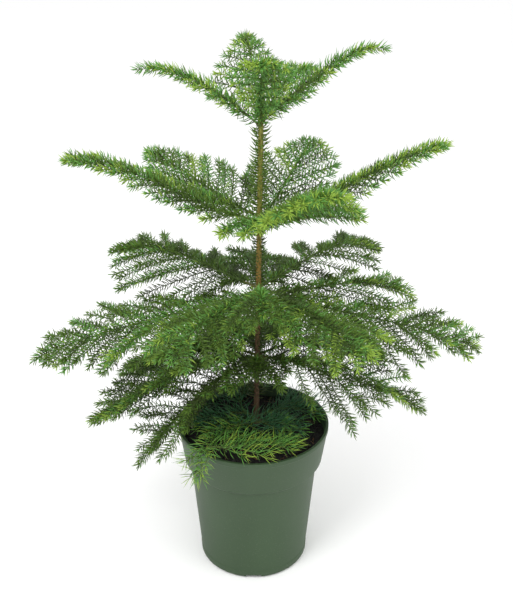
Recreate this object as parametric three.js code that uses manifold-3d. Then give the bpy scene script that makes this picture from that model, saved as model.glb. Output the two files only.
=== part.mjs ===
// A young norfolk island pine in a nursery pot.
// Millimetres, +Z up. The origin is the middle of the pot's flat underside and the front is -Y.
// The plant is a thin trunk with four whorls of arms. Each arm is a short bare bough and a flat
// spray of needles, and a few soft shoots lie on the soil round the trunk's foot.

import * as THREE from 'three';
import { mergeVertices } from 'three/addons/utils/BufferGeometryUtils.js';
import Module from 'manifold-3d';

const wasm = await Module();
wasm.setup();

// ------------------------------------------------------------------ sizes

const GAP = 0.3; // clear space between two solids that meet
const SMALLEST = 0.03; // detail below this size is dropped where twigs join
const SAME_POINT = 1e-4; // corners closer than this are one corner
const DEGREE = Math.PI / 180;
const UP = new THREE.Vector3(0, 0, 1);

const POT = {
  height: 175,
  rimRadius: 85,
  lipHeight: 5,
  lipProud: 0.8,
  bandHeight: 43,
  bandFootRadius: 78.6,
  shoulderHeight: 6,
  bodyTopRadius: 72.4,
  footRadius: 62.5,
  footEdge: 2.5,
  footLineHeight: 10,
  footLineStep: 0.4,
  wall: 2.2,
  floor: 3,
  sides: 36,
  notchCount: 4,
  notchWidth: 23,
  notchHeight: 2.6,
  notchDepth: 5,
};

const SOIL = {
  top: 165,
  edgeTop: 162,
  flatRadius: 34,
  roughRadius: 60,
  roughness: 1.2,
  seed: 3,
};

const TRUNK = {
  footX: 3,
  footY: 12,
  tipX: 8,
  tipY: 8,
  tipHeight: 531,
  footRadius: 3.2,
  tipRadius: 2.7,
  budHeight: 9,
  budRadius: 0.4,
  flareRadius: 4.4,
  flareHeight: 7,
  flareRoots: 5,
  rootDepth: 0.3,
  sides: 9,
  rings: 12,
  ringEase: 0.13,
};

// Needles that stand straight on the trunk between the whorls.
const TRUNK_NEEDLES = {
  lowest: 350,
  highest: 500,
  step: 6,
  clearOfWhorl: 14,
  turn: 137.5,
  length: 8.5,
  radius: 0.8,
  sides: 3,
  rise: 0.55,
  sink: 1.5,
};

// The arms of a whorl leave the trunk by turns a little above and a little below its height, by
// stagger, counted round from the front left. slopeStep is the share of an arm over which its
// slope is taken.
const BOUGH = {
  tipShare: 0.72, sides: 5, rings: 2, stagger: 1.8, countFrom: -130, slopeStep: 0.01,
};

// Each whorl: the height where its arms leave the trunk, and how an arm of it grows.
// lift and nod are the arm's slopes at the trunk and at its tip. width is the length of its
// longest side twig, first and end those of its first and last one as shares of it, and taper is
// how fast they shorten towards the tip. sag and curl bend the side twigs, droop bends the ones
// next to the trunk and ragged is how much they differ. bare is the length of the bare bough and
// bough its radius at the trunk.
const WHORLS = {
  top: {
    height: 514, lift: 0.95, nod: -0.15, bare: 12, width: 54, first: 0.8, widest: 0.3,
    taper: 1.1, end: 0.05, sag: 0.34, curl: -0.12, droop: 0, ragged: 0.12,
    spacing: 18, needle: 6.5, stem: 1.3, bough: 1.3,
  },
  upper: {
    height: 416, lift: 0.05, nod: 0.15, bare: 16, width: 70, first: 0.85, widest: 0.3,
    taper: 0.9, end: 0.08, sag: 0.36, curl: -0.15, droop: 0, ragged: 0.14,
    spacing: 24, needle: 6.5, stem: 1.5, bough: 1.6,
  },
  wide: {
    height: 335, lift: 0.02, nod: -0.5, bare: 20, width: 88, first: 0.65, widest: 0.25,
    taper: 0.75, end: 0.08, sag: -0.08, curl: -0.18, droop: 0.15, ragged: 0.38,
    spacing: 29, needle: 7, stem: 1.6, bough: 1.7,
  },
  low: {
    height: 252, lift: 0.05, nod: -1, bare: 14, width: 80, first: 0.75, widest: 0.2,
    taper: 0.65, end: 0.12, sag: -0.1, curl: -0.2, droop: -0.6, ragged: 0.38,
    spacing: 31, needle: 6.5, stem: 1.6, bough: 1.7,
  },
};

// Each arm: its whorl, its name, the way it points (0 is right, 90 is back), how far its tip
// reaches from the trunk, how high that tip is above or below the whorl, and the arm's own traits
// where they aren't its whorl's.
const ARMS = [
  { whorl: 'top', name: 'left', azimuth: 184, reach: 119, rise: 58, own: { width: 26, first: 0.6 } },
  { whorl: 'top', name: 'right', azimuth: -4, reach: 119, rise: 74, own: { width: 26, first: 0.6 } },
  {
    whorl: 'top', name: 'back', azimuth: 99, reach: 108, rise: 65,
    own: { width: 60, first: 0.95, widest: 0.15, taper: 1.2, sag: 0.16 },
  },
  { whorl: 'top', name: 'back_right', azimuth: 62, reach: 98, rise: 38, own: { width: 48 } },
  {
    whorl: 'top', name: 'front', azimuth: -90, reach: 104, rise: 80,
    own: { width: 44, first: 0.2, widest: 0.55 },
  },

  {
    whorl: 'upper', name: 'left', azimuth: 178, reach: 197, rise: 60,
    own: { lift: 0.1, nod: -0.15, width: 42, first: 1.2, taper: 0.7, end: 0.2 },
  },
  {
    whorl: 'upper', name: 'right', azimuth: 2, reach: 189, rise: 74,
    own: { width: 38, taper: 0.7, end: 0.2 },
  },
  { whorl: 'upper', name: 'back_left', azimuth: 134, reach: 178, rise: 32 },
  { whorl: 'upper', name: 'back_right', azimuth: 68, reach: 165, rise: 40 },
  {
    whorl: 'upper', name: 'front', azimuth: -68, reach: 162, rise: 76,
    own: { width: 78, first: 1.3 },
  },

  {
    whorl: 'wide', name: 'left', azimuth: 186, reach: 240, rise: -67,
    own: {
      lift: -0.3, nod: -0.42, width: 98, first: 1, widest: 0.3, taper: 0.9, end: 0.1,
      sag: 0.04, rootAngle: 70, tipAngle: 56,
    },
  },
  {
    whorl: 'wide', name: 'right', azimuth: -8, reach: 235, rise: -55,
    own: {
      lift: -0.35, nod: -0.38, width: 98, first: 1, widest: 0.3, taper: 0.9, end: 0.1,
      sag: 0.04, rootAngle: 70, tipAngle: 56,
    },
  },
  { whorl: 'wide', name: 'back_left', azimuth: 141, reach: 206, rise: -9 },
  { whorl: 'wide', name: 'back', azimuth: 94, reach: 152, rise: -24 },
  { whorl: 'wide', name: 'back_right', azimuth: 50, reach: 214, rise: -16 },
  {
    whorl: 'wide', name: 'side_right', azimuth: 21, reach: 172, rise: -24,
    own: { lift: -0.3, end: 0.15 },
  },
  { whorl: 'wide', name: 'front_right', azimuth: -60, reach: 188, rise: 4 },
  { whorl: 'wide', name: 'front', azimuth: -88, reach: 122, rise: 26 },
  { whorl: 'wide', name: 'front_left', azimuth: -116, reach: 184, rise: 4 },

  {
    whorl: 'low', name: 'left', azimuth: 173, reach: 168, rise: -88,
    own: { width: 92, widest: 0.45 },
  },
  { whorl: 'low', name: 'back_left', azimuth: 147, reach: 178, rise: -84 },
  { whorl: 'low', name: 'back', azimuth: 92, reach: 150, rise: -50 },
  { whorl: 'low', name: 'back_right', azimuth: 38, reach: 176, rise: -66 },
  { whorl: 'low', name: 'right', azimuth: -5, reach: 178, rise: -58 },
  { whorl: 'low', name: 'front_right', azimuth: -28, reach: 130, rise: -38 },
  { whorl: 'low', name: 'front', azimuth: -92, reach: 62, rise: 12, own: { width: 70 } },
  {
    whorl: 'low', name: 'front_left', azimuth: 191, reach: 118, rise: -88,
    own: { height: 243, width: 84, first: 0.3, widest: 0.5, rootAngle: 70, tipAngle: 50 },
  },
];

// How far the first and the last side twigs turn off their arm.
const TWIG_ANGLES = { rootAngle: 60, tipAngle: 38 };

// Side twigs of an arm. They sweep forward by sweep. pairStart, pairSpread and pairOffset place
// the two twigs of a pair, as shares of the space between pairs. angleSpread and liftSpread are
// for a whorl that is all ragged, and droopShare is where along an arm its droop has gone.
const TWIG = {
  angleSpread: 50,
  sweep: 18,
  liftSpread: 0.8,
  pairStart: 0.3,
  pairSpread: 0.35,
  pairOffset: 0.15,
  lastShare: 0.9,
  droopShare: 0.4,
  shortest: 9,
  shrink: 0.85,
  rootRadius: 1.1,
  lastRadius: 0.7,
  maxSector: 55,
  needleRoom: 6,
};

// The stems of a spray, of its side twigs and of the shoots: the stretch that each needle takes,
// the length of the last needle, and where along an arm the stem begins to have needles all
// round. taper and shorten are how much a stem and its needles lose by its end, lean how far a
// needle leans forward, and a stem of bareRings rings or fewer has needles from its very start.
const STEM = {
  stretch: 15, tip: 9, brushFrom: 0.75, taper: 0.75, lean: 0.45, shorten: 0.3, bareRings: 3,
};
const STEM_CORNERS = [90, 210, 330]; // the first corner is the ridge on top
const ALL_ROUND = [0, 1, 2]; // the faces of a stem that have needles
const BOTH_SIDES = [0, 2];

// The soft shoots on the soil. Each starts beside the trunk's foot and goes through the points of
// its stem. Each branch starts on the stem or on the branch before it.
const SHOOTS = [
  {
    name: 'front',
    stem: [[-20, -18, 181], [-44, -56, 184], [-60, -84, 181], [-64, -97, 166]],
    branches: [[[-49, -65, 184], [-22, -69, 187], [14, -63, 186], [50, -50, 179]]],
  },
  {
    name: 'left',
    stem: [[-24, 10, 180], [-50, 4, 179], [-75, 0, 174]],
    branches: [
      [[-24, 9, 179], [-38, -10, 180], [-54, -28, 176]],
      [[-11, 12, 178], [-18, 33, 183], [-34, 53, 182], [-50, 62, 176]],
      [[-18, 33, 183], [-10, 54, 183], [-5, 71, 178]],
    ],
  },
  {
    name: 'right',
    stem: [[28, 13, 182], [54, 12, 184], [79, 6, 181]],
    branches: [
      [[26, 13, 181], [44, 30, 183], [56, 46, 180]],
      [[17, 12, 179], [26, -6, 180], [37, -21, 178], [48, -28, 172]],
    ],
  },
];

const SHOOT = {
  startHeight: 176,
  clear: 0.8,
  stemRadius: 1.3,
  branchRadius: 1,
  needle: 10.5,
  stretch: 10,
  bare: 1,
};

// ------------------------------------------------------------------ materials

function finish(color, roughness) {
  return new THREE.MeshStandardMaterial({ color, roughness, metalness: 0, flatShading: true });
}

const MATERIALS = {
  pot: finish(0x566c54, 0.55),
  soil: finish(0x1d1512, 1),
  trunk: finish(0x7a6431, 0.8),
  bough: finish(0x5b6d2c, 0.75),
  top: finish(0x5f9a33, 0.6),
  upper: finish(0x4f8a34, 0.6),
  wide: finish(0x3c7231, 0.6),
  low: finish(0x3a5f2b, 0.6),
  shoot: finish(0x2f7440, 0.6),
};

// ------------------------------------------------------------------ solids

function toSolid(geometry) {
  geometry.deleteAttribute('normal');
  geometry.deleteAttribute('uv');
  const merged = mergeVertices(geometry, SAME_POINT);
  const corners = merged.index.array;
  const kept = [];
  for (let i = 0; i < corners.length; i += 3) {
    const [a, b, c] = [corners[i], corners[i + 1], corners[i + 2]];
    if (a !== b && b !== c && c !== a) kept.push(a, b, c);
  }
  const vertProperties = new Float32Array(merged.attributes.position.array);
  const triVerts = new Uint32Array(kept);
  return new wasm.Manifold(new wasm.Mesh({ numProp: 3, vertProperties, triVerts }));
}

function toGeometry(solid) {
  const mesh = solid.getMesh();
  const geometry = new THREE.BufferGeometry();
  geometry.setAttribute('position', new THREE.BufferAttribute(mesh.vertProperties, 3));
  geometry.setIndex(new THREE.BufferAttribute(mesh.triVerts, 1));
  geometry.computeVertexNormals();
  return geometry;
}

function joined(solids) {
  return solids.reduce((whole, solid) => whole.add(solid));
}

// A row of random numbers from 0 to 1, the same each time for the same seed.
function seededRandom(seed) {
  const [seedFactor, seedStep, factor, step, range] = [7919, 12345, 1664525, 1013904223, 2 ** 32];
  let state = (seed * seedFactor + seedStep) >>> 0;
  return () => {
    state = (Math.imul(state, factor) + step) >>> 0;
    return state / range;
  };
}

// ------------------------------------------------------------------ pot and soil

// The corners of the pot's wall between its foot and its lip, from the lowest up, each moved in
// from the outer face by inset: the body's top, the band's foot and the band's top.
function potOutline(inset) {
  const bandFoot = POT.height - POT.bandHeight;
  const bodyTop = bandFoot - POT.shoulderHeight;
  return [
    [POT.bodyTopRadius - inset, bodyTop],
    [POT.bandFootRadius - inset, bandFoot],
    [POT.rimRadius - POT.lipProud - inset, POT.height - POT.lipHeight - POT.lipProud],
  ];
}

function lathed(points, sides) {
  const profile = points.map(([radius, height]) => new THREE.Vector2(radius, height));
  return new THREE.LatheGeometry(profile, sides).rotateX(Math.PI / 2);
}

function makePot() {
  const innerTop = POT.rimRadius - POT.lipProud - POT.wall;
  const innerFoot = POT.footRadius - POT.wall;
  const shell = toSolid(lathed([
    [0, 0],
    [POT.footRadius - POT.footEdge, 0],
    [POT.footRadius, POT.footEdge],
    [POT.footRadius + POT.footLineStep, POT.footLineHeight],
    [POT.footRadius, POT.footLineHeight + POT.footLineStep],
    ...potOutline(0),
    [POT.rimRadius, POT.height - POT.lipHeight],
    [POT.rimRadius, POT.height],
    [innerTop, POT.height],
    ...potOutline(POT.wall).slice(0, 2).reverse(),
    [innerFoot, POT.floor],
    [0, POT.floor],
  ], POT.sides));
  const notches = [];
  for (let i = 0; i < POT.notchCount; i++) {
    const notch = new THREE.BoxGeometry(POT.notchDepth * 2, POT.notchWidth, POT.notchHeight * 2);
    notch.translate(POT.footRadius, 0, 0);
    notch.rotateZ((i / POT.notchCount) * 2 * Math.PI - Math.PI / 2);
    notches.push(toSolid(notch));
  }
  return toGeometry(notches.reduce((pot, notch) => pot.subtract(notch), shell));
}

// The pot's inner radius at a height, from the same outline.
function potInnerRadius(height) {
  const innerTop = POT.rimRadius - POT.lipProud - POT.wall;
  const [[lowRadius, lowHeight], [bandRadius, bandHeight]] = potOutline(POT.wall);
  if (height > bandHeight) {
    return THREE.MathUtils.mapLinear(height, bandHeight, POT.height, bandRadius, innerTop);
  }
  if (height > lowHeight) {
    return THREE.MathUtils.mapLinear(height, lowHeight, bandHeight, lowRadius, bandRadius);
  }
  return THREE.MathUtils.mapLinear(
    height, POT.floor, lowHeight, POT.footRadius - POT.wall, lowRadius,
  );
}

// The soil fills the pot, and the ring halfway up to its flat middle lies a little uneven.
function makeSoil() {
  const [[, bodyTop], [, bandFoot]] = potOutline(POT.wall);
  const bottom = POT.floor + GAP;
  const roughHeight = (SOIL.top + SOIL.edgeTop) / 2;
  const wall = [bottom, bodyTop, bandFoot, SOIL.edgeTop];
  const geometry = lathed([
    [0, bottom],
    ...wall.map((height) => [potInnerRadius(height) - GAP, height]),
    [SOIL.roughRadius, roughHeight],
    [SOIL.flatRadius, SOIL.top],
    [0, SOIL.top],
  ], POT.sides);
  const random = seededRandom(SOIL.seed);
  const offsets = Array.from({ length: POT.sides }, () => (random() - 0.5) * 2 * SOIL.roughness);
  const place = geometry.attributes.position;
  for (let i = 0; i < place.count; i++) {
    if (Math.abs(place.getZ(i) - roughHeight) > SAME_POINT) continue;
    const turn = Math.atan2(place.getY(i), place.getX(i)) / (2 * Math.PI) + 1;
    place.setZ(i, roughHeight + offsets[Math.round(turn * POT.sides) % POT.sides]);
  }
  return toGeometry(toSolid(geometry));
}

// ------------------------------------------------------------------ trunk

function trunkCentre(height) {
  const share = (height - SOIL.top) / (TRUNK.tipHeight - SOIL.top);
  return new THREE.Vector3(
    THREE.MathUtils.lerp(TRUNK.footX, TRUNK.tipX, share),
    THREE.MathUtils.lerp(TRUNK.footY, TRUNK.tipY, share),
    height,
  );
}

function trunkRadius(height) {
  const aboveFoot = height - SOIL.top;
  const belowTip = TRUNK.tipHeight - height;
  const share = aboveFoot / (TRUNK.tipHeight - SOIL.top);
  const shaft = THREE.MathUtils.lerp(TRUNK.footRadius, TRUNK.tipRadius, share);
  const bud = Math.min(1, belowTip / TRUNK.budHeight);
  const flare = TRUNK.flareRadius * Math.exp(-aboveFoot / TRUNK.flareHeight);
  return THREE.MathUtils.lerp(TRUNK.budRadius, shaft, Math.sqrt(bud)) + flare;
}

// The trunk's rings lie closer together at the flare and at the bud.
function trunkHeight(share) {
  const eased = share - TRUNK.ringEase * Math.sin(2 * Math.PI * share);
  return THREE.MathUtils.lerp(SOIL.top + GAP, TRUNK.tipHeight, eased);
}

function makeTrunk() {
  const geometry = new THREE.CylinderGeometry(1, 1, 1, TRUNK.sides, TRUNK.rings);
  geometry.rotateX(Math.PI / 2).translate(0, 0, 0.5);
  const place = geometry.attributes.position;
  for (let i = 0; i < place.count; i++) {
    const height = trunkHeight(place.getZ(i));
    const centre = trunkCentre(height);
    const angle = Math.atan2(place.getY(i), place.getX(i));
    const flare = Math.exp(-(height - SOIL.top) / TRUNK.flareHeight);
    const lobes = 1 + TRUNK.rootDepth * flare * Math.cos(TRUNK.flareRoots * angle);
    const radius = trunkRadius(height) * lobes;
    place.setXYZ(
      i, centre.x + place.getX(i) * radius, centre.y + place.getY(i) * radius, height,
    );
  }
  return toGeometry(joined([toSolid(geometry), ...trunkNeedles()]));
}

function trunkNeedles() {
  const needles = [];
  const whorlHeights = Object.values(WHORLS).map((whorl) => whorl.height);
  let turn = 0;
  for (let z = TRUNK_NEEDLES.lowest; z < TRUNK_NEEDLES.highest; z += TRUNK_NEEDLES.step) {
    turn += TRUNK_NEEDLES.turn * DEGREE;
    if (whorlHeights.some((height) => Math.abs(height - z) < TRUNK_NEEDLES.clearOfWhorl)) continue;
    const centre = trunkCentre(z);
    const outward = new THREE.Vector3(Math.cos(turn), Math.sin(turn), TRUNK_NEEDLES.rise);
    outward.normalize();
    const needle = new THREE.ConeGeometry(
      TRUNK_NEEDLES.radius, TRUNK_NEEDLES.length, TRUNK_NEEDLES.sides,
    );
    const start = trunkRadius(z) - TRUNK_NEEDLES.sink;
    needle.translate(0, TRUNK_NEEDLES.length / 2 + start, 0);
    needle.applyQuaternion(
      new THREE.Quaternion().setFromUnitVectors(new THREE.Vector3(0, 1, 0), outward),
    );
    needle.translate(centre.x, centre.y, centre.z);
    needles.push(toSolid(needle));
  }
  return needles;
}

// ------------------------------------------------------------------ arms

// The traits of an arm's whorl, with the arm's own ones in their place.
function traitsOf(arm) {
  return { ...TWIG_ANGLES, ...WHORLS[arm.whorl], ...arm.own };
}

// A point on an arm's middle line, at a share of its reach. The height is a cubic curve that
// leaves the trunk at the slope lift and comes to the tip at the slope nod.
function armPoint(arm, share) {
  const traits = traitsOf(arm);
  const foot = trunkCentre(traits.height + arm.step);
  const rest = 1 - share;
  const rise = arm.rise * share * share * (3 - 2 * share)
    + traits.lift * arm.reach * share * rest * rest
    - traits.nod * arm.reach * share * share * rest;
  const out = arm.reach * share;
  return new THREE.Vector3(
    foot.x + out * Math.cos(arm.azimuth * DEGREE),
    foot.y + out * Math.sin(arm.azimuth * DEGREE),
    foot.z + rise,
  );
}

// Counts the arms round each whorl and puts every second one higher.
function stepArms() {
  for (const whorl of Object.keys(WHORLS)) {
    ARMS.filter((arm) => arm.whorl === whorl)
      .sort((a, b) => turnOf(a) - turnOf(b))
      .forEach((arm, rank) => {
        arm.step = rank % 2 ? BOUGH.stagger : -BOUGH.stagger;
      });
  }
}

function turnOf(arm) {
  return THREE.MathUtils.euclideanModulo(arm.azimuth - BOUGH.countFrom, 360);
}

// How far each arm may spread to its left and right before it meets the next arm of its whorl.
function sectorOf(arm) {
  const turns = ARMS.filter((other) => other.whorl === arm.whorl && other !== arm)
    .map((other) => THREE.MathUtils.euclideanModulo(other.azimuth - arm.azimuth, 360));
  const left = Math.min(...turns) / 2;
  const right = (360 - Math.max(...turns)) / 2;
  return [Math.min(left, TWIG.maxSector), Math.min(right, TWIG.maxSector)];
}

// The length of a side twig, as a share of the longest, at a share of the foliage's length.
function twigProfile(traits, share) {
  const opening = traits.first + (1 - traits.first) * Math.min(1, share / traits.widest);
  const closing = Math.min(1, (1 - share) / (1 - traits.widest)) ** traits.taper;
  return opening * (traits.end + (1 - traits.end) * closing);
}

// The side twigs of an arm, in pairs: root, heading, length and slopes. Each keeps inside the
// arm's own sector, and is shortened until it does. One that would be a stub is left out.
function sideTwigs(arm) {
  const traits = traitsOf(arm);
  const random = seededRandom(arm.seed);
  const start = traits.bare / arm.reach;
  const pairs = Math.round(TWIG.lastShare * (arm.reach - traits.bare) / traits.spacing);
  const [leftSector, rightSector] = sectorOf(arm);
  const foot = trunkCentre(traits.height);
  const twigs = [];
  for (let i = 0; i < pairs; i++) {
    for (const side of [1, -1]) {
      const [along, size, turn, lift] = [random(), random(), random(), random()];
      const place = i + TWIG.pairStart + TWIG.pairSpread * along + TWIG.pairOffset * side;
      const share = TWIG.lastShare * place / pairs;
      const root = armPoint(arm, start + (1 - start) * share);
      const angle = THREE.MathUtils.lerp(traits.rootAngle, traits.tipAngle, share)
        + (turn - 0.5) * TWIG.angleSpread * traits.ragged;
      const heading = (arm.azimuth + side * angle) * DEGREE;
      const slope = traits.sag + (lift - 0.5) * TWIG.liftSpread * traits.ragged
        - traits.droop * Math.max(0, 1 - share / TWIG.droopShare);
      let length = traits.width * twigProfile(traits, share)
        * (1 + (size - 0.5) * traits.ragged);
      const edge = (arm.azimuth + (side > 0 ? leftSector : -rightSector)) * DEGREE;
      while (length > TWIG.shortest) {
        const x = root.x + length * Math.cos(heading) - foot.x;
        const y = root.y + length * Math.sin(heading) - foot.y;
        const room = side * (Math.sin(edge) * x - Math.cos(edge) * y);
        if (room > TWIG.needleRoom) break;
        length *= TWIG.shrink;
      }
      if (length > TWIG.shortest) twigs.push({ root, heading, side, length, slope, share });
    }
  }
  return twigs;
}

function twigPoint(twig, curl, share) {
  const out = twig.length * share;
  const heading = twig.heading - twig.side * TWIG.sweep * DEGREE * share / 2;
  return new THREE.Vector3(
    twig.root.x + out * Math.cos(heading),
    twig.root.y + out * Math.sin(heading),
    twig.root.z + out * (twig.slope + curl * share),
  );
}

// A three-sided stem that narrows to a point, with its faces drawn out into needles: one on
// each face in rows, over each stretch of the stem from the one numbered first. The others
// stay flat.
function needleStem(points, radius, needle, rows, first) {
  const last = points.length - 1;
  const positions = [];
  const face = (...corners) => corners.forEach((corner) => positions.push(...corner.toArray()));
  const rings = points.slice(0, last).map((point, i) => {
    const along = points[i + 1].clone().sub(points[Math.max(i - 1, 0)]).normalize();
    const across = UP.clone().cross(along).normalize();
    const above = along.clone().cross(across);
    const size = radius * (1 - STEM.taper * (i / last));
    return STEM_CORNERS.map((turn) => point.clone()
      .addScaledVector(across, size * Math.cos(turn * DEGREE))
      .addScaledVector(above, size * Math.sin(turn * DEGREE)));
  });
  for (let i = 0; i < last - 1; i++) {
    const along = points[i + 1].clone().sub(points[i]).normalize();
    const middle = points[i].clone().add(points[i + 1]).multiplyScalar(0.5);
    const forward = points[i].distanceTo(points[i + 1]) * STEM.lean;
    for (const side of ALL_ROUND) {
      const next = (side + 1) % STEM_CORNERS.length;
      const [a, b, c, d] = [rings[i][side], rings[i + 1][side], rings[i + 1][next], rings[i][next]];
      if (i < first || !rows.includes(side)) {
        face(a, c, b);
        face(a, d, c);
        continue;
      }
      const centre = a.clone().add(b).add(c).add(d).multiplyScalar(0.25);
      const outward = centre.clone().sub(middle).normalize();
      const reach = needle * (1 - STEM.shorten * (i / last));
      const tip = centre.addScaledVector(outward, reach).addScaledVector(along, forward);
      face(a, tip, b);
      face(b, tip, c);
      face(c, tip, d);
      face(d, tip, a);
    }
  }
  const [ridge, right, left] = rings[last - 1];
  face(ridge, right, points[last]);
  face(right, left, points[last]);
  face(left, ridge, points[last]);
  face(rings[0][0], rings[0][2], rings[0][1]);
  const geometry = new THREE.BufferGeometry();
  geometry.setAttribute('position', new THREE.Float32BufferAttribute(positions, 3));
  return toSolid(geometry);
}

// The shares of a stem's length where its rings lie: even stretches up to the needle at its tip,
// and the tip.
function stretches(length, stretch) {
  const count = Math.max(1, Math.round((length - STEM.tip) / stretch));
  const even = (1 - STEM.tip / length) / count;
  return [...Array.from({ length: count + 1 }, (_, i) => i * even), 1];
}

function armFoliage(arm) {
  const traits = traitsOf(arm);
  const start = (traits.bare + GAP) / arm.reach;
  const rings = stretches(arm.reach - traits.bare, STEM.stretch);
  const stem = rings.map((share) => armPoint(arm, THREE.MathUtils.lerp(start, 1, share)));
  const brush = Math.round(rings.length * STEM.brushFrom);
  const solids = [needleStem(stem, traits.stem, traits.needle, ALL_ROUND, brush)];
  for (const twig of sideTwigs(arm)) {
    const points = stretches(twig.length, STEM.stretch)
      .map((share) => twigPoint(twig, traits.curl, share));
    const radius = THREE.MathUtils.lerp(TWIG.rootRadius, TWIG.lastRadius, twig.share);
    const bareStart = points.length > STEM.bareRings ? 1 : 0;
    solids.push(needleStem(points, radius, traits.needle, BOTH_SIDES, bareStart));
  }
  return toGeometry(joined(solids).simplify(SMALLEST));
}

// The bare start of an arm. Its first face stands upright beside the trunk and its last face is
// square to the arm, where the foliage begins.
function armBough(arm) {
  const traits = traitsOf(arm);
  const near = (trunkRadius(traits.height) + GAP) / arm.reach;
  const far = traits.bare / arm.reach;
  const geometry = new THREE.CylinderGeometry(1, 1, 1, BOUGH.sides, BOUGH.rings);
  geometry.translate(0, 0.5, 0);
  const place = geometry.attributes.position;
  const outward = new THREE.Vector3(
    Math.cos(arm.azimuth * DEGREE), Math.sin(arm.azimuth * DEGREE), 0,
  );
  for (let i = 0; i < place.count; i++) {
    const step = place.getY(i);
    const share = THREE.MathUtils.lerp(near, far, step);
    const centre = armPoint(arm, share);
    const along = armPoint(arm, share + BOUGH.slopeStep)
      .sub(armPoint(arm, share - BOUGH.slopeStep)).normalize();
    const normal = step === 0 ? outward : along;
    const across = UP.clone().cross(normal).normalize();
    const above = normal.clone().cross(across);
    const radius = traits.bough * THREE.MathUtils.lerp(1, BOUGH.tipShare, step);
    centre.addScaledVector(across, -place.getX(i) * radius);
    centre.addScaledVector(above, place.getZ(i) * radius);
    place.setXYZ(i, centre.x, centre.y, centre.z);
  }
  return toGeometry(toSolid(geometry));
}

// ------------------------------------------------------------------ shoots on the soil

function shootStem(points, radius, bare) {
  const curve = new THREE.CatmullRomCurve3(points);
  const steps = Math.round(curve.getLength() / SHOOT.stretch);
  return needleStem(curve.getSpacedPoints(steps), radius, SHOOT.needle, BOTH_SIDES, bare);
}

function makeShoot(shoot) {
  const stem = shoot.stem.map((point) => new THREE.Vector3(...point));
  const start = trunkCentre(SHOOT.startHeight);
  const outward = stem[0].clone().sub(start).setZ(0).normalize();
  start.addScaledVector(outward, trunkRadius(SHOOT.startHeight) + SHOOT.clear);
  const solids = [shootStem([start, ...stem], SHOOT.stemRadius, SHOOT.bare)];
  for (const branch of shoot.branches) {
    const points = branch.map((point) => new THREE.Vector3(...point));
    solids.push(shootStem(points, SHOOT.branchRadius, 0));
  }
  return toGeometry(joined(solids).simplify(SMALLEST));
}

// ------------------------------------------------------------------ the plant

const plant = new THREE.Group();

function add(name, geometry, material) {
  const mesh = new THREE.Mesh(geometry, material);
  mesh.name = name;
  plant.add(mesh);
}

add('pot', makePot(), MATERIALS.pot);
add('soil', makeSoil(), MATERIALS.soil);
add('trunk', makeTrunk(), MATERIALS.trunk);
stepArms();
ARMS.forEach((arm, index) => {
  arm.seed = index + 1;
  add(`${arm.whorl}_${arm.name}_bough`, armBough(arm), MATERIALS.bough);
  add(`${arm.whorl}_${arm.name}_foliage`, armFoliage(arm), MATERIALS[arm.whorl]);
});
SHOOTS.forEach((shoot) => add(`shoot_${shoot.name}`, makeShoot(shoot), MATERIALS.shoot));

export default plant;
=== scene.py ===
"""A young norfolk island pine in a nursery pot, finished round its fixed frame.

Lengths in the tables of this file are millimetres, and meshes are made in metres. The front of
the plant is -Y. Each operator makes one kind of piece, and the panel in the sidebar lists them.
"""

import math
from collections import namedtuple

import bpy
import numpy as np
from bpy.props import (
    EnumProperty, FloatProperty, FloatVectorProperty, IntProperty, PointerProperty,
)
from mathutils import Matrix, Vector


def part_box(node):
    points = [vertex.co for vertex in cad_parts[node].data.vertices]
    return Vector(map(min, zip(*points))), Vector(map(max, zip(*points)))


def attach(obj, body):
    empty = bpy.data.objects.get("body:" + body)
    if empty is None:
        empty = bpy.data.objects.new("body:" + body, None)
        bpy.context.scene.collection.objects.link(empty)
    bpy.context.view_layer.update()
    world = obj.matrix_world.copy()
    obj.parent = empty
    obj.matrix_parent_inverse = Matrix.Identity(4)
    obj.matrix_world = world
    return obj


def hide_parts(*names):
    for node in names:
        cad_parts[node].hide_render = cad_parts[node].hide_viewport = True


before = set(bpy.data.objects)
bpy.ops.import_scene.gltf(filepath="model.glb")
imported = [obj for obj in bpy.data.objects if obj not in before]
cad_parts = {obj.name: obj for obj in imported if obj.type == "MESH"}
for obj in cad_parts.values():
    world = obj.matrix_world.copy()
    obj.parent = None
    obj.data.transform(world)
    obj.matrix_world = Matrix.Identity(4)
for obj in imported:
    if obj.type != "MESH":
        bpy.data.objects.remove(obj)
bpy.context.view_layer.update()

bl_info = {
    "name": "Potted Norfolk Island Pine",
    "version": (1, 0, 0),
    "blender": (4, 5, 0),
    "location": "View3D > Sidebar > Pine",
    "description": "Finishes a potted norfolk island pine round its frame",
    "category": "Object",
}

MM = 0.001
DEGREE = math.pi / 180
GOLDEN_TURN = 137.5 * DEGREE
UP = np.array((0.0, 0.0, 1.0))


def node_size(name):
    """Radius, foot and top of a round CAD node, in metres."""
    low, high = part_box(name)
    return (high[0] - low[0]) / 2, low[2], high[2]


POT_RADIUS, POT_FOOT, POT_TOP = node_size("pot")
SOIL_RADIUS, SOIL_FOOT, SOIL_CROWN = node_size("soil")


def screen(red, green, blue):
    """A colour as a screen shows it, 0 to 255 a channel, in Blender's linear numbers."""
    return tuple(((c / 255 + 0.055) / 1.055) ** 2.4 for c in (red, green, blue))


def colour(name, description, *channels):
    """A colour that the user may change."""
    return FloatVectorProperty(
        name=name, description=description, subtype="COLOR", size=3, min=0, max=1,
        default=screen(*channels),
    )


def length(name, description, default):
    """A length that the user may change, in metres."""
    return FloatProperty(
        name=name, description=description, default=default, min=0, subtype="DISTANCE",
    )


# ---------------------------------------------------------------- how the plant grows

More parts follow.
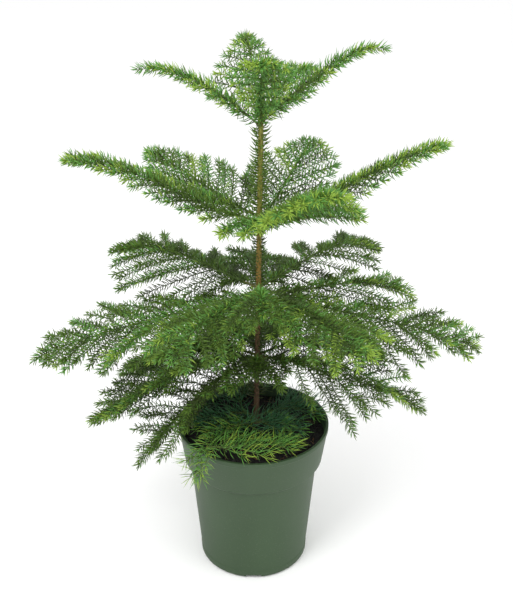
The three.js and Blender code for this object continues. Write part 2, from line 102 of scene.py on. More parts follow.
# The trunk's middle line and radii, the same as the frame's.
TRUNK = {
    "foot": (3, 12), "tip": (8, 8), "low": 165, "high": 531, "foot_radius": 3.2,
    "tip_radius": 2.7, "bud_height": 9, "bud_radius": 0.4, "flare_radius": 4.4,
    "flare_height": 7, "flare_roots": 5, "root_depth": 0.3,
}

# Each whorl: the height where its arms leave the trunk, the arm's slopes at the trunk and at its
# tip, the bare start, the longest side twig, the first twig's share of it, where along the arm
# the longest is, how fast the twigs shorten from there and what is left at the arm's tip. Then
# how the twigs rise and curl, how much more those next to the trunk sag (droop), how unlike each
# other the twigs are (ragged), the radius of a bough and of its stem, and the space between two
# pairs of twigs. inner and outer are the needles' lengths near the trunk and at the tip, broad is
# a needle's radius, dense is needles a millimetre and flat squeezes a twig's needles to its sides.
# tints are the shares of the twigs that have each tint, and a twig's tip is no older than tip_tint.
WHORLS = {
    "top": {
        "height": 514, "lift": 0.95, "nod": -0.15, "bare": 12, "width": 54, "first": 0.8,
        "widest": 0.3, "taper": 1.1, "end": 0.05, "sag": 0.34, "curl": -0.12, "droop": 0,
        "ragged": 0.12, "bough": 1.3, "stem": 1.2, "spacing": 9, "inner": 14, "outer": 9.5,
        "broad": 0.6, "dense": 1, "flat": 0.75, "tints": {"mid": 0.5, "fresh": 0.5},
        "tip_tint": "fresh",
    },
    "upper": {
        "height": 416, "lift": 0.05, "nod": 0.15, "bare": 16, "width": 70, "first": 0.85,
        "widest": 0.3, "taper": 0.9, "end": 0.08, "sag": 0.36, "curl": -0.15, "droop": 0,
        "ragged": 0.14, "bough": 1.6, "stem": 1.4, "spacing": 12, "inner": 12, "outer": 10.5,
        "broad": 0.6, "dense": 1.05, "flat": 0.7, "tints": {"deep": 0.15, "mid": 0.6, "fresh": 0.25},
        "tip_tint": "fresh",
    },
    "wide": {
        "height": 335, "lift": 0.02, "nod": -0.5, "bare": 20, "width": 88, "first": 0.65,
        "widest": 0.25, "taper": 0.75, "end": 0.08, "sag": -0.08, "curl": -0.18, "droop": 0.15,
        "ragged": 0.38, "bough": 1.7, "stem": 1.5, "spacing": 11, "inner": 11, "outer": 10,
        "broad": 0.58, "dense": 1.2, "flat": 0.8, "tints": {"deep": 0.3, "mid": 0.57, "fresh": 0.13},
        "tip_tint": "mid",
    },
    "low": {
        "height": 252, "lift": 0.05, "nod": -1, "bare": 14, "width": 80, "first": 0.75,
        "widest": 0.2, "taper": 0.65, "end": 0.12, "sag": -0.1, "curl": -0.2, "droop": -0.6,
        "ragged": 0.38, "bough": 1.7, "stem": 1.5, "spacing": 9.5, "inner": 10.5, "outer": 10,
        "broad": 0.58, "dense": 1.15, "flat": 0.75,
        # The low whorl's dark tints are partly old needles and partly painted shade under the whorls
        # above.
        "tints": {"shade": 0.1, "deep": 0.45, "mid": 0.45}, "tip_tint": "mid",
    },
}

# An arm points at azimuth, 0 to the right and 90 to the back. Its tip is reach away from the
# trunk and rise above the whorl. The number after rise is the share of its twigs with light new
# growth: partly real new growth and partly painted light, higher on arms that face the front and
# the lamps. own holds the arm's own traits, where they aren't its whorl's.
Arm = namedtuple("Arm", "whorl name azimuth reach rise bright own", defaults=({},))
ARMS = [
    Arm("top", "left", 184, 119, 58, 0.3, {"width": 26, "first": 0.6}),
    Arm("top", "right", -4, 119, 74, 0.25, {"width": 26, "first": 0.6}),
    Arm("top", "back", 99, 108, 65, 0.45, {
        "width": 60, "first": 0.95, "widest": 0.15, "taper": 1.2, "sag": 0.16,
    }),
    Arm("top", "back_right", 62, 98, 38, 0.3, {"width": 48}),
    Arm("top", "front", -90, 104, 80, 0.5, {"width": 44, "first": 0.2, "widest": 0.55}),
    Arm("upper", "left", 178, 197, 60, 0.4, {
        "lift": 0.1, "nod": -0.15, "width": 42, "first": 1.2, "taper": 0.7, "end": 0.2, "dense": 1.4,
    }),
    Arm("upper", "right", 2, 189, 74, 0.3, {"width": 38, "taper": 0.7, "end": 0.2, "dense": 1.4}),
    Arm("upper", "back_left", 134, 178, 32, 0.1),
    Arm("upper", "back_right", 68, 165, 40, 0.15),
    Arm("upper", "front", -68, 162, 76, 0.85, {
        "width": 78, "first": 1.3, "inner": 13.5, "outer": 12, "dense": 1.15,
    }),
    Arm("wide", "left", 186, 240, -67, 0.15, {
        "lift": -0.3, "nod": -0.42, "width": 98, "first": 1, "widest": 0.3, "taper": 0.9,
        "end": 0.1, "sag": 0.04, "root_angle": 70, "tip_angle": 56, "spacing": 8.5,
    }),
    Arm("wide", "right", -8, 235, -55, 0.35, {
        "lift": -0.35, "nod": -0.38, "width": 98, "first": 1, "widest": 0.3, "taper": 0.9,
        "end": 0.1, "sag": 0.04, "root_angle": 70, "tip_angle": 56, "spacing": 9.5,
    }),
    Arm("wide", "back_left", 141, 206, -9, 0, {"spacing": 9}),
    Arm("wide", "back", 94, 152, -24, 0),
    Arm("wide", "back_right", 50, 214, -16, 0.1, {"spacing": 14}),
    Arm("wide", "side_right", 21, 172, -24, 0.3, {"lift": -0.3, "spacing": 15, "end": 0.15}),
    Arm("wide", "front_right", -60, 188, 4, 0.4),
    Arm("wide", "front", -88, 122, 26, 0.15),
    Arm("wide", "front_left", -116, 184, 4, 0.2),
    Arm("low", "left", 173, 168, -88, 0.15, {
        "width": 92, "widest": 0.45, "room": -45, "spacing": 6.5,
    }),
    Arm("low", "back_left", 147, 178, -84, 0, {"spacing": 7}),
    Arm("low", "back", 92, 150, -50, 0, {"spacing": 6.5}),
    Arm("low", "back_right", 38, 176, -66, 0, {"spacing": 15}),
    Arm("low", "right", -5, 178, -58, 0.15, {"spacing": 14}),
    Arm("low", "front_right", -28, 130, -30, 0.1, {"first": 0.4, "widest": 0.5, "spacing": 13}),
    Arm("low", "front", -92, 62, 12, 0, {"width": 52, "spacing": 5.5}),
    Arm("low", "front_left", 191, 118, -88, 0.05, {
        "height": 243, "width": 84, "first": 0.3, "widest": 0.5, "root_angle": 70,
        "tip_angle": 50, "room": -45, "spacing": 6.5,
    }),
]
STAGGER = 1.8  # by turns, the arms of a whorl leave the trunk this much lower and higher
CLEAR = 1.5  # what foliage keeps from the pot

# How far the first and the last side twigs turn off their arm, and the room that they keep to the
# edge of the arm's sector. Less than 0 is how far they may cross it.
TWIG_TRAITS = {"root_angle": 60, "tip_angle": 38, "room": -16}

# Side twigs stand in pairs, the last one at last_share of the foliage. pair_start and pair_spread
# say where in its pair's space a twig may stand, and pair_offset how far the two stand apart. The
# droop has gone at 1 / droop_fade of the foliage. A twig that has no room is shortened by shrink,
# and left out once it is under shortest. Then the widest sector of an arm, how many degrees a twig
# sweeps forwards, its radii at both ends, how much thinner its root is at the arm's tip and the
# space between its points.
TWIG = {
    "angle_spread": 50, "lift_spread": 0.8, "pair_start": 0.3, "pair_spread": 0.35,
    "pair_offset": 0.15, "last_share": 0.95, "droop_fade": 2.5, "shortest": 6, "shrink": 0.85,
    "max_sector": 55, "sweep": 18, "root_radius": 0.75, "end_radius": 0.3, "thinner": 0.35,
    "step": 7,
}
Twig = namedtuple("Twig", "root heading length slope share side")


def seeded_random(seed):
    """Numbers from 0 to 1, the same row each time for the same seed."""
    seed_factor, seed_step, factor, step, numbers = 7919, 12345, 1664525, 1013904223, 2**32
    state = (seed * seed_factor + seed_step) % numbers
    while True:
        state = (state * factor + step) % numbers
        yield state / numbers


def trunk_centre(height):
    """The point of the trunk's middle line at a height."""
    share = (height - TRUNK["low"]) / (TRUNK["high"] - TRUNK["low"])
    foot, tip = np.array(TRUNK["foot"]), np.array(TRUNK["tip"])
    return np.array((*(foot + (tip - foot) * share), height))


def trunk_radius(height):
    """The trunk's radius at a height, with its root flare and its bud."""
    above_foot = height - TRUNK["low"]
    share = above_foot / (TRUNK["high"] - TRUNK["low"])
    shaft = TRUNK["foot_radius"] + (TRUNK["tip_radius"] - TRUNK["foot_radius"]) * share
    bud = math.sqrt(max(0, min(1, (TRUNK["high"] - height) / TRUNK["bud_height"])))
    flare = TRUNK["flare_radius"] * math.exp(-above_foot / TRUNK["flare_height"])
    return TRUNK["bud_radius"] + (shaft - TRUNK["bud_radius"]) * bud + flare


def traits_of(arm):
    """The traits of an arm's whorl, with the arm's own ones in their place."""
    return {**TWIG_TRAITS, **WHORLS[arm.whorl], **arm.own}


def whorl_arms(whorl):
    """The arms of a whorl, in order round the trunk from its front left."""
    return sorted(
        (arm for arm in ARMS if arm.whorl == whorl), key=lambda arm: (arm.azimuth + 130) % 360,
    )


def arm_point(arm, share):
    """Points of an arm's middle line at shares of its reach, a cubic curve in height."""
    share = np.asarray(share, float)
    traits = traits_of(arm)
    rank = whorl_arms(arm.whorl).index(arm)
    foot = trunk_centre(traits["height"] + (STAGGER if rank % 2 else -STAGGER))
    rest = 1 - share
    rise = (
        arm.rise * share**2 * (3 - 2 * share)
        + traits["lift"] * arm.reach * share * rest**2
        - traits["nod"] * arm.reach * share**2 * rest
    )
    out = arm.reach * share
    turn = arm.azimuth * DEGREE
    return foot + np.stack((out * math.cos(turn), out * math.sin(turn), rise), -1)


def sectors(arm):
    """How far an arm may spread to its left and right before it meets the next arm."""
    turns = [
        (other.azimuth - arm.azimuth) % 360 for other in whorl_arms(arm.whorl) if other != arm
    ]
    left, right = min(turns) / 2, (360 - max(turns)) / 2
    return min(left, TWIG["max_sector"]), min(right, TWIG["max_sector"])


def twig_profile(arm, share):
    """A side twig's length, as a share of the longest, at a share of the foliage's length."""
    traits = traits_of(arm)
    first, end = traits["first"], traits["end"]
    opening = first + (1 - first) * min(1, share / traits["widest"])
    closing = min(1, (1 - share) / (1 - traits["widest"])) ** traits["taper"]
    return opening * (end + (1 - end) * closing)


def clears_pot(points):
    """True for the points, in millimetres, that are clear of the pot's wall and of the soil."""
    radius = np.hypot(points[..., 0], points[..., 1])
    rim, inside = POT_RADIUS / MM + CLEAR, SOIL_RADIUS / MM - CLEAR
    in_wall = (radius < rim) & (radius > inside) & (points[..., 2] < POT_TOP / MM + CLEAR)
    in_soil = (radius < rim) & (points[..., 2] < SOIL_CROWN / MM + 0.5)
    return ~(in_wall | in_soil)


def free_twig(arm, random, pair, pairs, side):
    """A side twig at the length that it has where nothing is in its way."""
    traits = traits_of(arm)
    along, size, turn, lift = (next(random) for _ in range(4))
    start = traits["bare"] / arm.reach
    place = pair + TWIG["pair_start"] + TWIG["pair_spread"] * along
    share = TWIG["last_share"] * (place + TWIG["pair_offset"] * side) / pairs
    root = arm_point(arm, start + (1 - start) * share)
    angle = traits["root_angle"] + (traits["tip_angle"] - traits["root_angle"]) * share
    angle += (turn - 0.5) * TWIG["angle_spread"] * traits["ragged"]
    heading = (arm.azimuth + side * angle) * DEGREE
    slope = traits["sag"] + (lift - 0.5) * TWIG["lift_spread"] * traits["ragged"]
    slope -= traits["droop"] * max(0, 1 - TWIG["droop_fade"] * share)
    length = traits["width"] * twig_profile(arm, share)
    length *= 1 + (size - 0.5) * traits["ragged"]
    return Twig(root, heading, length, slope, share, side)


def has_room(twig, arm, edge):
    """True for a side twig that keeps to its arm's sector, which ends at edge, and clears the pot."""
    traits = traits_of(arm)
    foot = trunk_centre(traits["height"])
    x = twig.root[0] + twig.length * math.cos(twig.heading) - foot[0]
    y = twig.root[1] + twig.length * math.sin(twig.heading) - foot[1]
    in_sector = twig.side * (math.sin(edge) * x - math.cos(edge) * y) > traits["room"]
    return in_sector and clears_pot(twig_points(twig, traits["curl"])).all()


def side_twigs(arm):
    """The side twigs of an arm, in pairs. Each is shortened until it has room."""
    traits = traits_of(arm)
    random = seeded_random(ARMS.index(arm) + 1)
    pairs = round(TWIG["last_share"] * (arm.reach - traits["bare"]) / traits["spacing"])
    twigs = []
    for pair in range(pairs):
        for side, sector in zip((1, -1), sectors(arm)):
            edge = (arm.azimuth + side * sector) * DEGREE
            twig = free_twig(arm, random, pair, pairs, side)
            while twig.length > TWIG["shortest"] and not has_room(twig, arm, edge):
                twig = twig._replace(length=twig.length * TWIG["shrink"])
            if twig.length > TWIG["shortest"]:
                twigs.append(twig)
    return twigs


def twig_points(twig, curl):
    """Points along a side twig, which sweeps forward and curls down towards its tip."""
    share = np.linspace(0, 1, max(3, round(twig.length / TWIG["step"]) + 1))
    heading = twig.heading - twig.side * TWIG["sweep"] * DEGREE * share / 2
    out = twig.length * share
    rise = out * (twig.slope + curl * share)
    return twig.root + np.stack((out * np.cos(heading), out * np.sin(heading), rise), -1)


# ---------------------------------------------------------------- meshes from arrays


class Growth:
    """Points and triangles of many small like things, gathered into one mesh."""

    def __init__(self):
        self.points = []
        self.triangles = []
        self.count = 0

    def add(self, points, triangles):
        """Adds one thing: its points in millimetres, and its triangles as their numbers."""
        self.points.append(points)
        self.triangles.append(np.asarray(triangles) + self.count)
        self.count += len(points)

    def piece(self, name, material):
        """The object, with its place in its mesh and its points in metres."""
        points = np.concatenate(self.points) * MM
        triangles = np.concatenate(self.triangles)
        mesh = bpy.data.meshes.new(name)
        mesh.vertices.add(len(points))
        mesh.vertices.foreach_set("co", points.astype(np.float32).ravel())
        mesh.loops.add(triangles.size)
        mesh.loops.foreach_set("vertex_index", triangles.astype(np.int32).ravel())
        mesh.polygons.add(len(triangles))
        mesh.polygons.foreach_set("loop_start", np.arange(0, triangles.size, 3, dtype=np.int32))
        mesh.update(calc_edges=True)
        mesh.shade_smooth()
        mesh.materials.append(material)
        made = bpy.data.objects.new(name, mesh)
        bpy.context.scene.collection.objects.link(made)
        return made


def unit(vectors):
    """The vectors at a length of 1."""
    return vectors / np.linalg.norm(vectors, axis=-1, keepdims=True)


def stem_axes(points):
    """Unit vectors along, across and above a stem at each of its points."""
    along = unit(np.gradient(points, axis=0))
    across = unit(np.cross(UP, along))
    return along, across, np.cross(along, across)


def add_stem(growth, points, radii, sides):
    """A round stem with a flat start, which ends in a point."""
    along, across, above = stem_axes(points)
    turn = np.arange(sides) * 2 * math.pi / sides
    rings = (
        points[:-1, None]
        + radii[:-1, None, None] * across[:-1, None] * np.cos(turn)[None, :, None]
        + radii[:-1, None, None] * above[:-1, None] * np.sin(turn)[None, :, None]
    )
    triangles = [(0, k + 1, k) for k in range(1, sides - 1)]
    last = len(points) - 2
    for ring in range(last):
        for k in range(sides):
            a, b = ring * sides + k, ring * sides + (k + 1) % sides
            triangles += [(a, b, b + sides), (a, b + sides, a + sides)]
    tip = (last + 1) * sides
    triangles += [(last * sides + k, last * sides + (k + 1) % sides, tip) for k in range(sides)]
    growth.add(np.concatenate((rings.reshape(-1, 3), points[-1:])), triangles)


# A needle: three corners at its foot, three at its middle and a tip.
NEEDLE_CORNERS = np.array((90, 210, 330)) * DEGREE
NEEDLE_TRIANGLES = np.array((
    (0, 2, 1), (0, 1, 4), (0, 4, 3), (1, 2, 5), (1, 5, 4), (2, 0, 3), (2, 3, 5),
    (3, 4, 6), (4, 5, 6), (5, 3, 6),
))
NEEDLE_POINTS = 7
Needles = namedtuple("Needles", "foot along out length radius lean curve tint")

# How needles stand on a stem: how far they stray from their even places, how dense a tuft is next
# to the stem, the lean of a tuft's last needle and how much shorter it is, the share of its length
# that a needle on the underside has, the spread of leans and bends in degrees, the ranges of
# lengths and radii, and how far out in the stem a needle starts.
SPIRAL = {
    "stray": 0.25, "tuft_dense": 0.7, "tuft_lean": 24, "tuft_shorter": 0.2, "under": 0.88,
    "spread": 5, "lengths": (0.8, 1.15), "radii": (0.85, 1.15), "sunk": 0.5,
}


def join_needles(parts):
    """Several sets of needles as one."""
    return Needles(*(np.concatenate(values) for values in zip(*parts)))


def needle_shapes(needles):
    """The points of each needle: an awl that leans off its stem and curves back towards it."""
    along, out = needles.along, needles.out
    side = np.cross(out, along)
    size, radius = needles.length[:, None], needles.radius[:, None, None]
    start, end = needles.lean[:, None], (needles.lean - needles.curve)[:, None]
    first = along * np.cos(start) + out * np.sin(start)
    second = along * np.cos(end) + out * np.sin(end)
    knee = 0.48
    middle = needles.foot + first * size * knee
    tip = middle + second * size * (1 - knee)
    rings = []
    for centre, heading, width in ((needles.foot, first, 0.75), (middle, unit(first + second), 1)):
        face = np.cross(heading, side)
        rings.append(
            centre[:, None]
            + radius * width * side[:, None] * np.cos(NEEDLE_CORNERS)[None, :, None]
            + radius * width * face[:, None] * np.sin(NEEDLE_CORNERS)[None, :, None]
        )
    return np.concatenate((*rings, tip[:, None]), axis=1)


def add_needles(growth, needles):
    """Many needles, joined to one mesh. A needle that would cut the pot or the soil is left out."""
    shapes = needle_shapes(needles)
    shapes = shapes[clears_pot(shapes).all(axis=1)]
    starts = np.arange(len(shapes))[:, None, None] * NEEDLE_POINTS
    growth.add(shapes.reshape(-1, 3), (NEEDLE_TRIANGLES + starts).reshape(-1, 3))


def needle_places(whole, random, dense, tip_length, start):
    """How far along a stem its needles stand: evenly, and once more in the tuft at its end."""
    body = np.arange(start, whole, 1 / dense)
    tuft_count = round(tip_length * dense * SPIRAL["tuft_dense"])
    tuft = np.linspace(max(start, whole - tip_length), whole, tuft_count)
    places = np.concatenate((body, tuft))
    return np.clip(places + random.normal(0, SPIRAL["stray"], len(places)), start, whole)


def needles_on(points, random, *, dense, reach, radius, stem, lean, curve, flat, rise, tint,
               tip_tint, tip_length, start=0):
    """Needles set in a spiral on a stem. reach is the needles' length at its start and end.

    flat squeezes the spiral to the stem's two sides and rise lifts it. Needles nearer to the
    stem's end than tip_length are a tuft: they have tip_tint, stand closer and fan forwards.
    """
    steps = np.linalg.norm(np.diff(points, axis=0), axis=1)
    marks = np.concatenate(((0,), np.cumsum(steps)))
    whole = marks[-1]
    places = needle_places(whole, random, dense, tip_length, start)
    count = len(places)
    along, across, above = stem_axes(points)

    def at(values):
        return np.stack([np.interp(places, marks, values[:, axis]) for axis in range(3)], -1)

    ahead = unit(at(along))
    turn = np.arange(count) * GOLDEN_TURN + random.normal(0, SPIRAL["stray"], count)
    out = at(across) * np.cos(turn)[:, None] + at(above) * (flat * np.sin(turn))[:, None]
    out = out + UP * rise
    out = unit(out - ahead * np.sum(out * ahead, axis=1, keepdims=True))
    fan = np.clip(1 - (whole - places) / tip_length, 0, 1)
    size = np.interp(places / whole, (0, 1), reach) * random.uniform(*SPIRAL["lengths"], count)
    size *= np.where(np.sin(turn) < 0, SPIRAL["under"], 1) * (1 - SPIRAL["tuft_shorter"] * fan)
    tilt = lean - (lean - SPIRAL["tuft_lean"]) * fan**2
    tilt = tilt + random.normal(0, SPIRAL["spread"], count)
    bend = curve * (1 - fan) + random.normal(0, SPIRAL["spread"], count)
    return Needles(
        at(points) + out * stem * SPIRAL["sunk"], ahead, out, size,
        radius * random.uniform(*SPIRAL["radii"], count), tilt * DEGREE, bend * DEGREE,
        np.where(fan > 0, tip_tint, tint),
    )


# ---------------------------------------------------------------- finishes

# Needle tints, from old growth to new, and the soft shoots' own. The darkest, shade, is partly the
# oldest needles' colour and partly painted shade. A needle knows its tint's place in this row.
TINTS = ("shade", "deep", "mid", "fresh", "lime", "soft")
LIME, SOFT = TINTS.index("lime"), TINTS.index("soft")


def shader(name):
    """A new material, its node tree's nodes and links, and its Principled shader."""
    material = bpy.data.materials.new(name)
    material.use_nodes = True
    nodes, links = material.node_tree.nodes, material.node_tree.links
    return material, nodes, links, nodes["Principled BSDF"]


def needle_finish(tint, shade):
    """The waxy skin of the needles of one tint."""
    material, _, _, skin = shader(f"needles_{tint}")
    skin.inputs["Base Color"].default_value = (*shade, 1)
    skin.inputs["Roughness"].default_value = 0.5
    skin.inputs["Specular IOR Level"].default_value = 0.28
    return material


def pattern(nodes, links, scale, detail=4, stretch=(1, 1, 1), kind="ShaderNodeTexNoise"):
    """A procedural pattern on the piece's own coordinates."""
    place = nodes.new("ShaderNodeTexCoord")
    mapping = nodes.new("ShaderNodeMapping")
    mapping.inputs["Scale"].default_value = stretch
    texture = nodes.new(kind)
    texture.inputs["Scale"].default_value = scale
    texture.inputs["Detail"].default_value = detail
    links.new(place.outputs["Object"], mapping.inputs["Vector"])
    links.new(mapping.outputs["Vector"], texture.inputs["Vector"])
    return texture


def ramp(nodes, links, source, stops):
    """Colours dealt out along a value from 0 to 1."""
    made = nodes.new("ShaderNodeValToRGB")
    band = made.color_ramp
    while len(band.elements) < len(stops):
        band.elements.new(0.5)
    for element, (place, shade) in zip(band.elements, stops):
        element.position = place
        element.color = (*shade, 1)
    links.new(source, made.inputs["Fac"])
    return made.outputs["Color"]


def relief(nodes, links, skin, source, strength, distance):
    """Fine relief from a pattern, on the shader's normal."""
    bump = nodes.new("ShaderNodeBump")
    bump.inputs["Strength"].default_value = strength
    bump.inputs["Distance"].default_value = distance
    links.new(source, bump.inputs["Height"])
    links.new(bump.outputs["Normal"], skin.inputs["Normal"])


def mixed(nodes, links, share, first, second, blend="MIX"):
    """Two colours mixed by a value."""
    mix = nodes.new("ShaderNodeMix")
    mix.data_type = "RGBA"
    mix.blend_type = blend
    for socket, value in zip(("Factor", "A", "B"), (share, first, second)):
        target = next(s for s in mix.inputs if s.name == socket and s.enabled)
        if isinstance(value, bpy.types.NodeSocket):
            links.new(value, target)
        else:
            target.default_value = value
    return next(s for s in mix.outputs if s.enabled)


def height_share(nodes, links, low, high):
    """The piece's height from low to high, as a value from 0 to 1."""
    place = nodes.new("ShaderNodeTexCoord")
    split = nodes.new("ShaderNodeSeparateXYZ")
    spread = nodes.new("ShaderNodeMapRange")
    spread.inputs["From Min"].default_value = low
    spread.inputs["From Max"].default_value = high
    links.new(place.outputs["Object"], split.inputs["Vector"])
    links.new(split.outputs["Z"], spread.inputs["Value"])
    return spread.outputs["Result"]


def pot_finish(settings):
    """Matte moulded plastic with faint clouding, fine dust specks and a pebbled skin."""
    material, nodes, links, skin = shader("moulded_pot")
    cloud = pattern(nodes, links, 22, 3, (1, 1, 0.35))
    body = ramp(nodes, links, cloud.outputs["Fac"], (
        (0.3, settings.shade_colour), (0.7, settings.wall_colour),
    ))
    speck = pattern(nodes, links, 900, 2)
    dust = ramp(nodes, links, speck.outputs["Fac"], ((0.62, (0, 0, 0)), (0.75, (1, 1, 1))))
    links.new(
        mixed(nodes, links, dust, body, (*settings.dust_colour, 1)), skin.inputs["Base Color"],
    )
    skin.inputs["Roughness"].default_value = 0.52
    skin.inputs["Specular IOR Level"].default_value = 0.4
    grain = pattern(nodes, links, 1400, 2)
    relief(nodes, links, skin, grain.outputs["Fac"], 0.12, 0.0002)
    return material


def soil_finish(name, dark, light, scale=420):
    """Damp peat: near black, with browner fibres."""
    material, nodes, links, skin = shader(name)
    fibre = pattern(nodes, links, scale, 6)
    links.new(
        ramp(nodes, links, fibre.outputs["Fac"], ((0.38, dark), (0.68, light))),
        skin.inputs["Base Color"],
    )
    skin.inputs["Roughness"].default_value = 0.88
    relief(nodes, links, skin, fibre.outputs["Fac"], 0.6, 0.001)
    return material


def bark_finish(name, stops, low, high):
    """Bark whose colour goes from woody brown at the foot to green near the tip."""
    material, nodes, links, skin = shader(name)
    grown = ramp(nodes, links, height_share(nodes, links, low, high), stops)
    mottle = pattern(nodes, links, 500, 5, (1, 1, 0.35))
    fade = ramp(nodes, links, mottle.outputs["Fac"], (
        (0.35, (0.55, 0.52, 0.42)), (0.62, (1, 1, 1)),
    ))
    links.new(mixed(nodes, links, 1, grown, fade, "MULTIPLY"), skin.inputs["Base Color"])
    skin.inputs["Roughness"].default_value = 0.72
    relief(nodes, links, skin, mottle.outputs["Fac"], 0.5, 0.0006)
    return material


def twig_finish(name, shade):
    """The thin green stems under the needles."""
    material, nodes, links, skin = shader(name)
    mottle = pattern(nodes, links, 300, 3)
    dim = tuple(0.6 * c for c in shade)
    links.new(
        ramp(nodes, links, mottle.outputs["Fac"], ((0.35, dim), (0.65, shade))),
        skin.inputs["Base Color"],
    )
    skin.inputs["Roughness"].default_value = 0.7
    return material


# ---------------------------------------------------------------- modelling helpers


def settle(piece, slot, *nodes):
    """Puts a finished piece on the plant's body, in place of the nodes it stands for."""
    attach(piece, "root")
    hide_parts(*nodes)


def start_piece(name, primitive, **sizes):
    """A primitive as the only selected object, in edit mode with all of it selected."""
    bpy.ops.object.select_all(action="DESELECT")
    primitive(**sizes)
    piece = bpy.context.active_object
    piece.name = piece.data.name = name
    bpy.ops.object.mode_set(mode="EDIT")
    return piece


def pick_faces(piece, wanted):
    """Selects the faces whose centre and normal the test wants, and nothing else."""
    bpy.ops.object.mode_set(mode="OBJECT")
    for part in (*piece.data.vertices, *piece.data.edges):
        part.select = False
    for face in piece.data.polygons:
        face.select = bool(wanted(face.center, face.normal))
    bpy.ops.object.mode_set(mode="EDIT")
    bpy.ops.mesh.select_mode(type="FACE")


def extrude_to(centre, scale, step):
    """Extrudes what is selected by step and scales it about its new centre."""
    bpy.ops.mesh.extrude_region_move(TRANSFORM_OT_translate={"value": tuple(step)})
    if scale != 1:
        bpy.ops.transform.resize(value=(scale,) * 3, center_override=tuple(centre))


def end_shell():
    """Turns all faces of the shell in edit mode outwards, and applies its place and turn."""
    bpy.ops.mesh.select_all(action="SELECT")
    bpy.ops.mesh.normals_make_consistent(inside=False)
    bpy.ops.object.mode_set(mode="OBJECT")
    bpy.ops.object.transform_apply(location=True, rotation=True)


def end_piece(piece, material, angle=40):
    """Back to object mode, with the place in the mesh, the material and smooth shading."""
    bpy.ops.object.mode_set(mode="OBJECT")
    bpy.ops.object.transform_apply(location=True, rotation=True, scale=True)
    piece.data.materials.clear()
    piece.data.materials.append(material)
    bpy.ops.object.shade_smooth_by_angle(angle=angle * DEGREE)


def apply_modifier(piece, kind, **values):
    """Adds a modifier with these values and applies it."""
    modifier = piece.modifiers.new(kind.lower(), kind)
    for key, value in values.items():
        setattr(modifier, key, value)
    bpy.ops.object.modifier_apply(modifier=modifier.name)


def move_points(piece, mover):
    """Moves the piece's points by a function of all of them, in metres."""
    points = np.empty(len(piece.data.vertices) * 3, dtype=np.float32)
    piece.data.vertices.foreach_get("co", points)
    moved = mover(points.reshape(-1, 3).astype(float))
    piece.data.vertices.foreach_set("co", moved.astype(np.float32).ravel())
    piece.data.update()


# ---------------------------------------------------------------- settings


class PotSettings(bpy.types.PropertyGroup):
    """The nursery pot."""

    rim_radius: length("Rim radius", "Radius of the pot's lip", POT_RADIUS)
    height: length("Height", "Height of the pot", POT_TOP - POT_FOOT)
    foot_radius: length("Foot radius", "Radius of the pot's foot", 0.0625)
    wall: length("Wall", "Thickness of the plastic", 0.0022)
    band: length("Band", "Height of the straight band under the rim", 0.043)
    lip: length("Lip", "Height of the thicker lip", 0.005)
    notch_width: length("Notch width", "Width of a drain notch at the foot", 0.018)
    notch_height: length("Notch height", "Height of a drain notch at the foot", 0.0042)
    wall_colour: colour("Wall", "Colour of the plastic", 51, 73, 46)
    shade_colour: colour("Clouding", "Colour where the plastic is darker", 46, 67, 41)
    dust_colour: colour("Dust", "Colour of the fine dust", 74, 88, 68)


class SoilSettings(bpy.types.PropertyGroup):
    """The potting soil."""

    crumbs: IntProperty(
        name="Crumbs", description="Number of loose crumbs", default=2600, min=0,
    )
    litter: IntProperty(
        name="Litter", description="Number of dry needles and root threads", default=170, min=0,
    )
    dark_colour: colour("Dark", "Colour of wet peat", 9, 8, 9)
    light_colour: colour("Light", "Colour of dry fibres", 36, 31, 30)
    litter_colour: colour("Litter", "Colour of dry needles", 128, 96, 62)


class TrunkSettings(bpy.types.PropertyGroup):
    """The trunk and its boughs."""

    foot_colour: colour("Foot", "Colour of the woody foot", 98, 76, 54)
    middle_colour: colour("Middle", "Colour of the trunk's middle", 146, 116, 58)
    tip_colour: colour("Tip", "Colour of the trunk's green top", 130, 130, 54)
    bough_colour: colour("Boughs", "Colour of the boughs", 98, 100, 46)
    relief: length("Relief", "Height of the leaf cushions", 0.0004)


class FoliageSettings(bpy.types.PropertyGroup):
    """The needles."""

    needle_width: FloatProperty(
        name="Needle width", description="Widens all needles", default=1, min=0.1,
    )
    # Partly the oldest needles' own colour and partly painted shade, low and deep in the plant.
    shade: colour("Shade", "Colour of the oldest needles", 54, 70, 24)
    deep: colour("Deep", "Colour of old needles", 68, 94, 31)
    mid: colour("Mid", "Colour of grown needles", 89, 120, 39)
    fresh: colour("Fresh", "Colour of young needles", 114, 149, 48)
    lime: colour("Lime", "Colour of new tips", 150, 182, 70)
    soft: colour("Soft", "Colour of the soft shoots' needles", 114, 182, 68)
    twig: colour("Twigs", "Colour of the stems under the needles", 84, 106, 46)


class StageSettings(bpy.types.PropertyGroup):
    """The floor, the lights and the camera."""

    distance: length("Distance", "From the camera to the pot's middle, along Y", 0.9)
    camera_side: length("Camera side", "How far right of the pot's middle the camera is", 0.0034)
    camera_height: length("Camera height", "Height of the camera", 0.76)
    pitch: FloatProperty(
        name="Pitch", description="How far the camera looks down", default=25.7 * DEGREE,
        subtype="ANGLE",
    )
    lens: FloatProperty(
        name="Lens", description="Focal length in millimetres", default=56.3, min=1,
    )
    floor_colour: colour("Floor", "Colour of the floor", 253, 253, 253)


SETTINGS = {
    "pine_pot": PotSettings, "pine_soil": SoilSettings, "pine_trunk": TrunkSettings,
    "pine_foliage": FoliageSettings, "pine_stage": StageSettings,
}


# ---------------------------------------------------------------- pot

POT_SIDES = 96


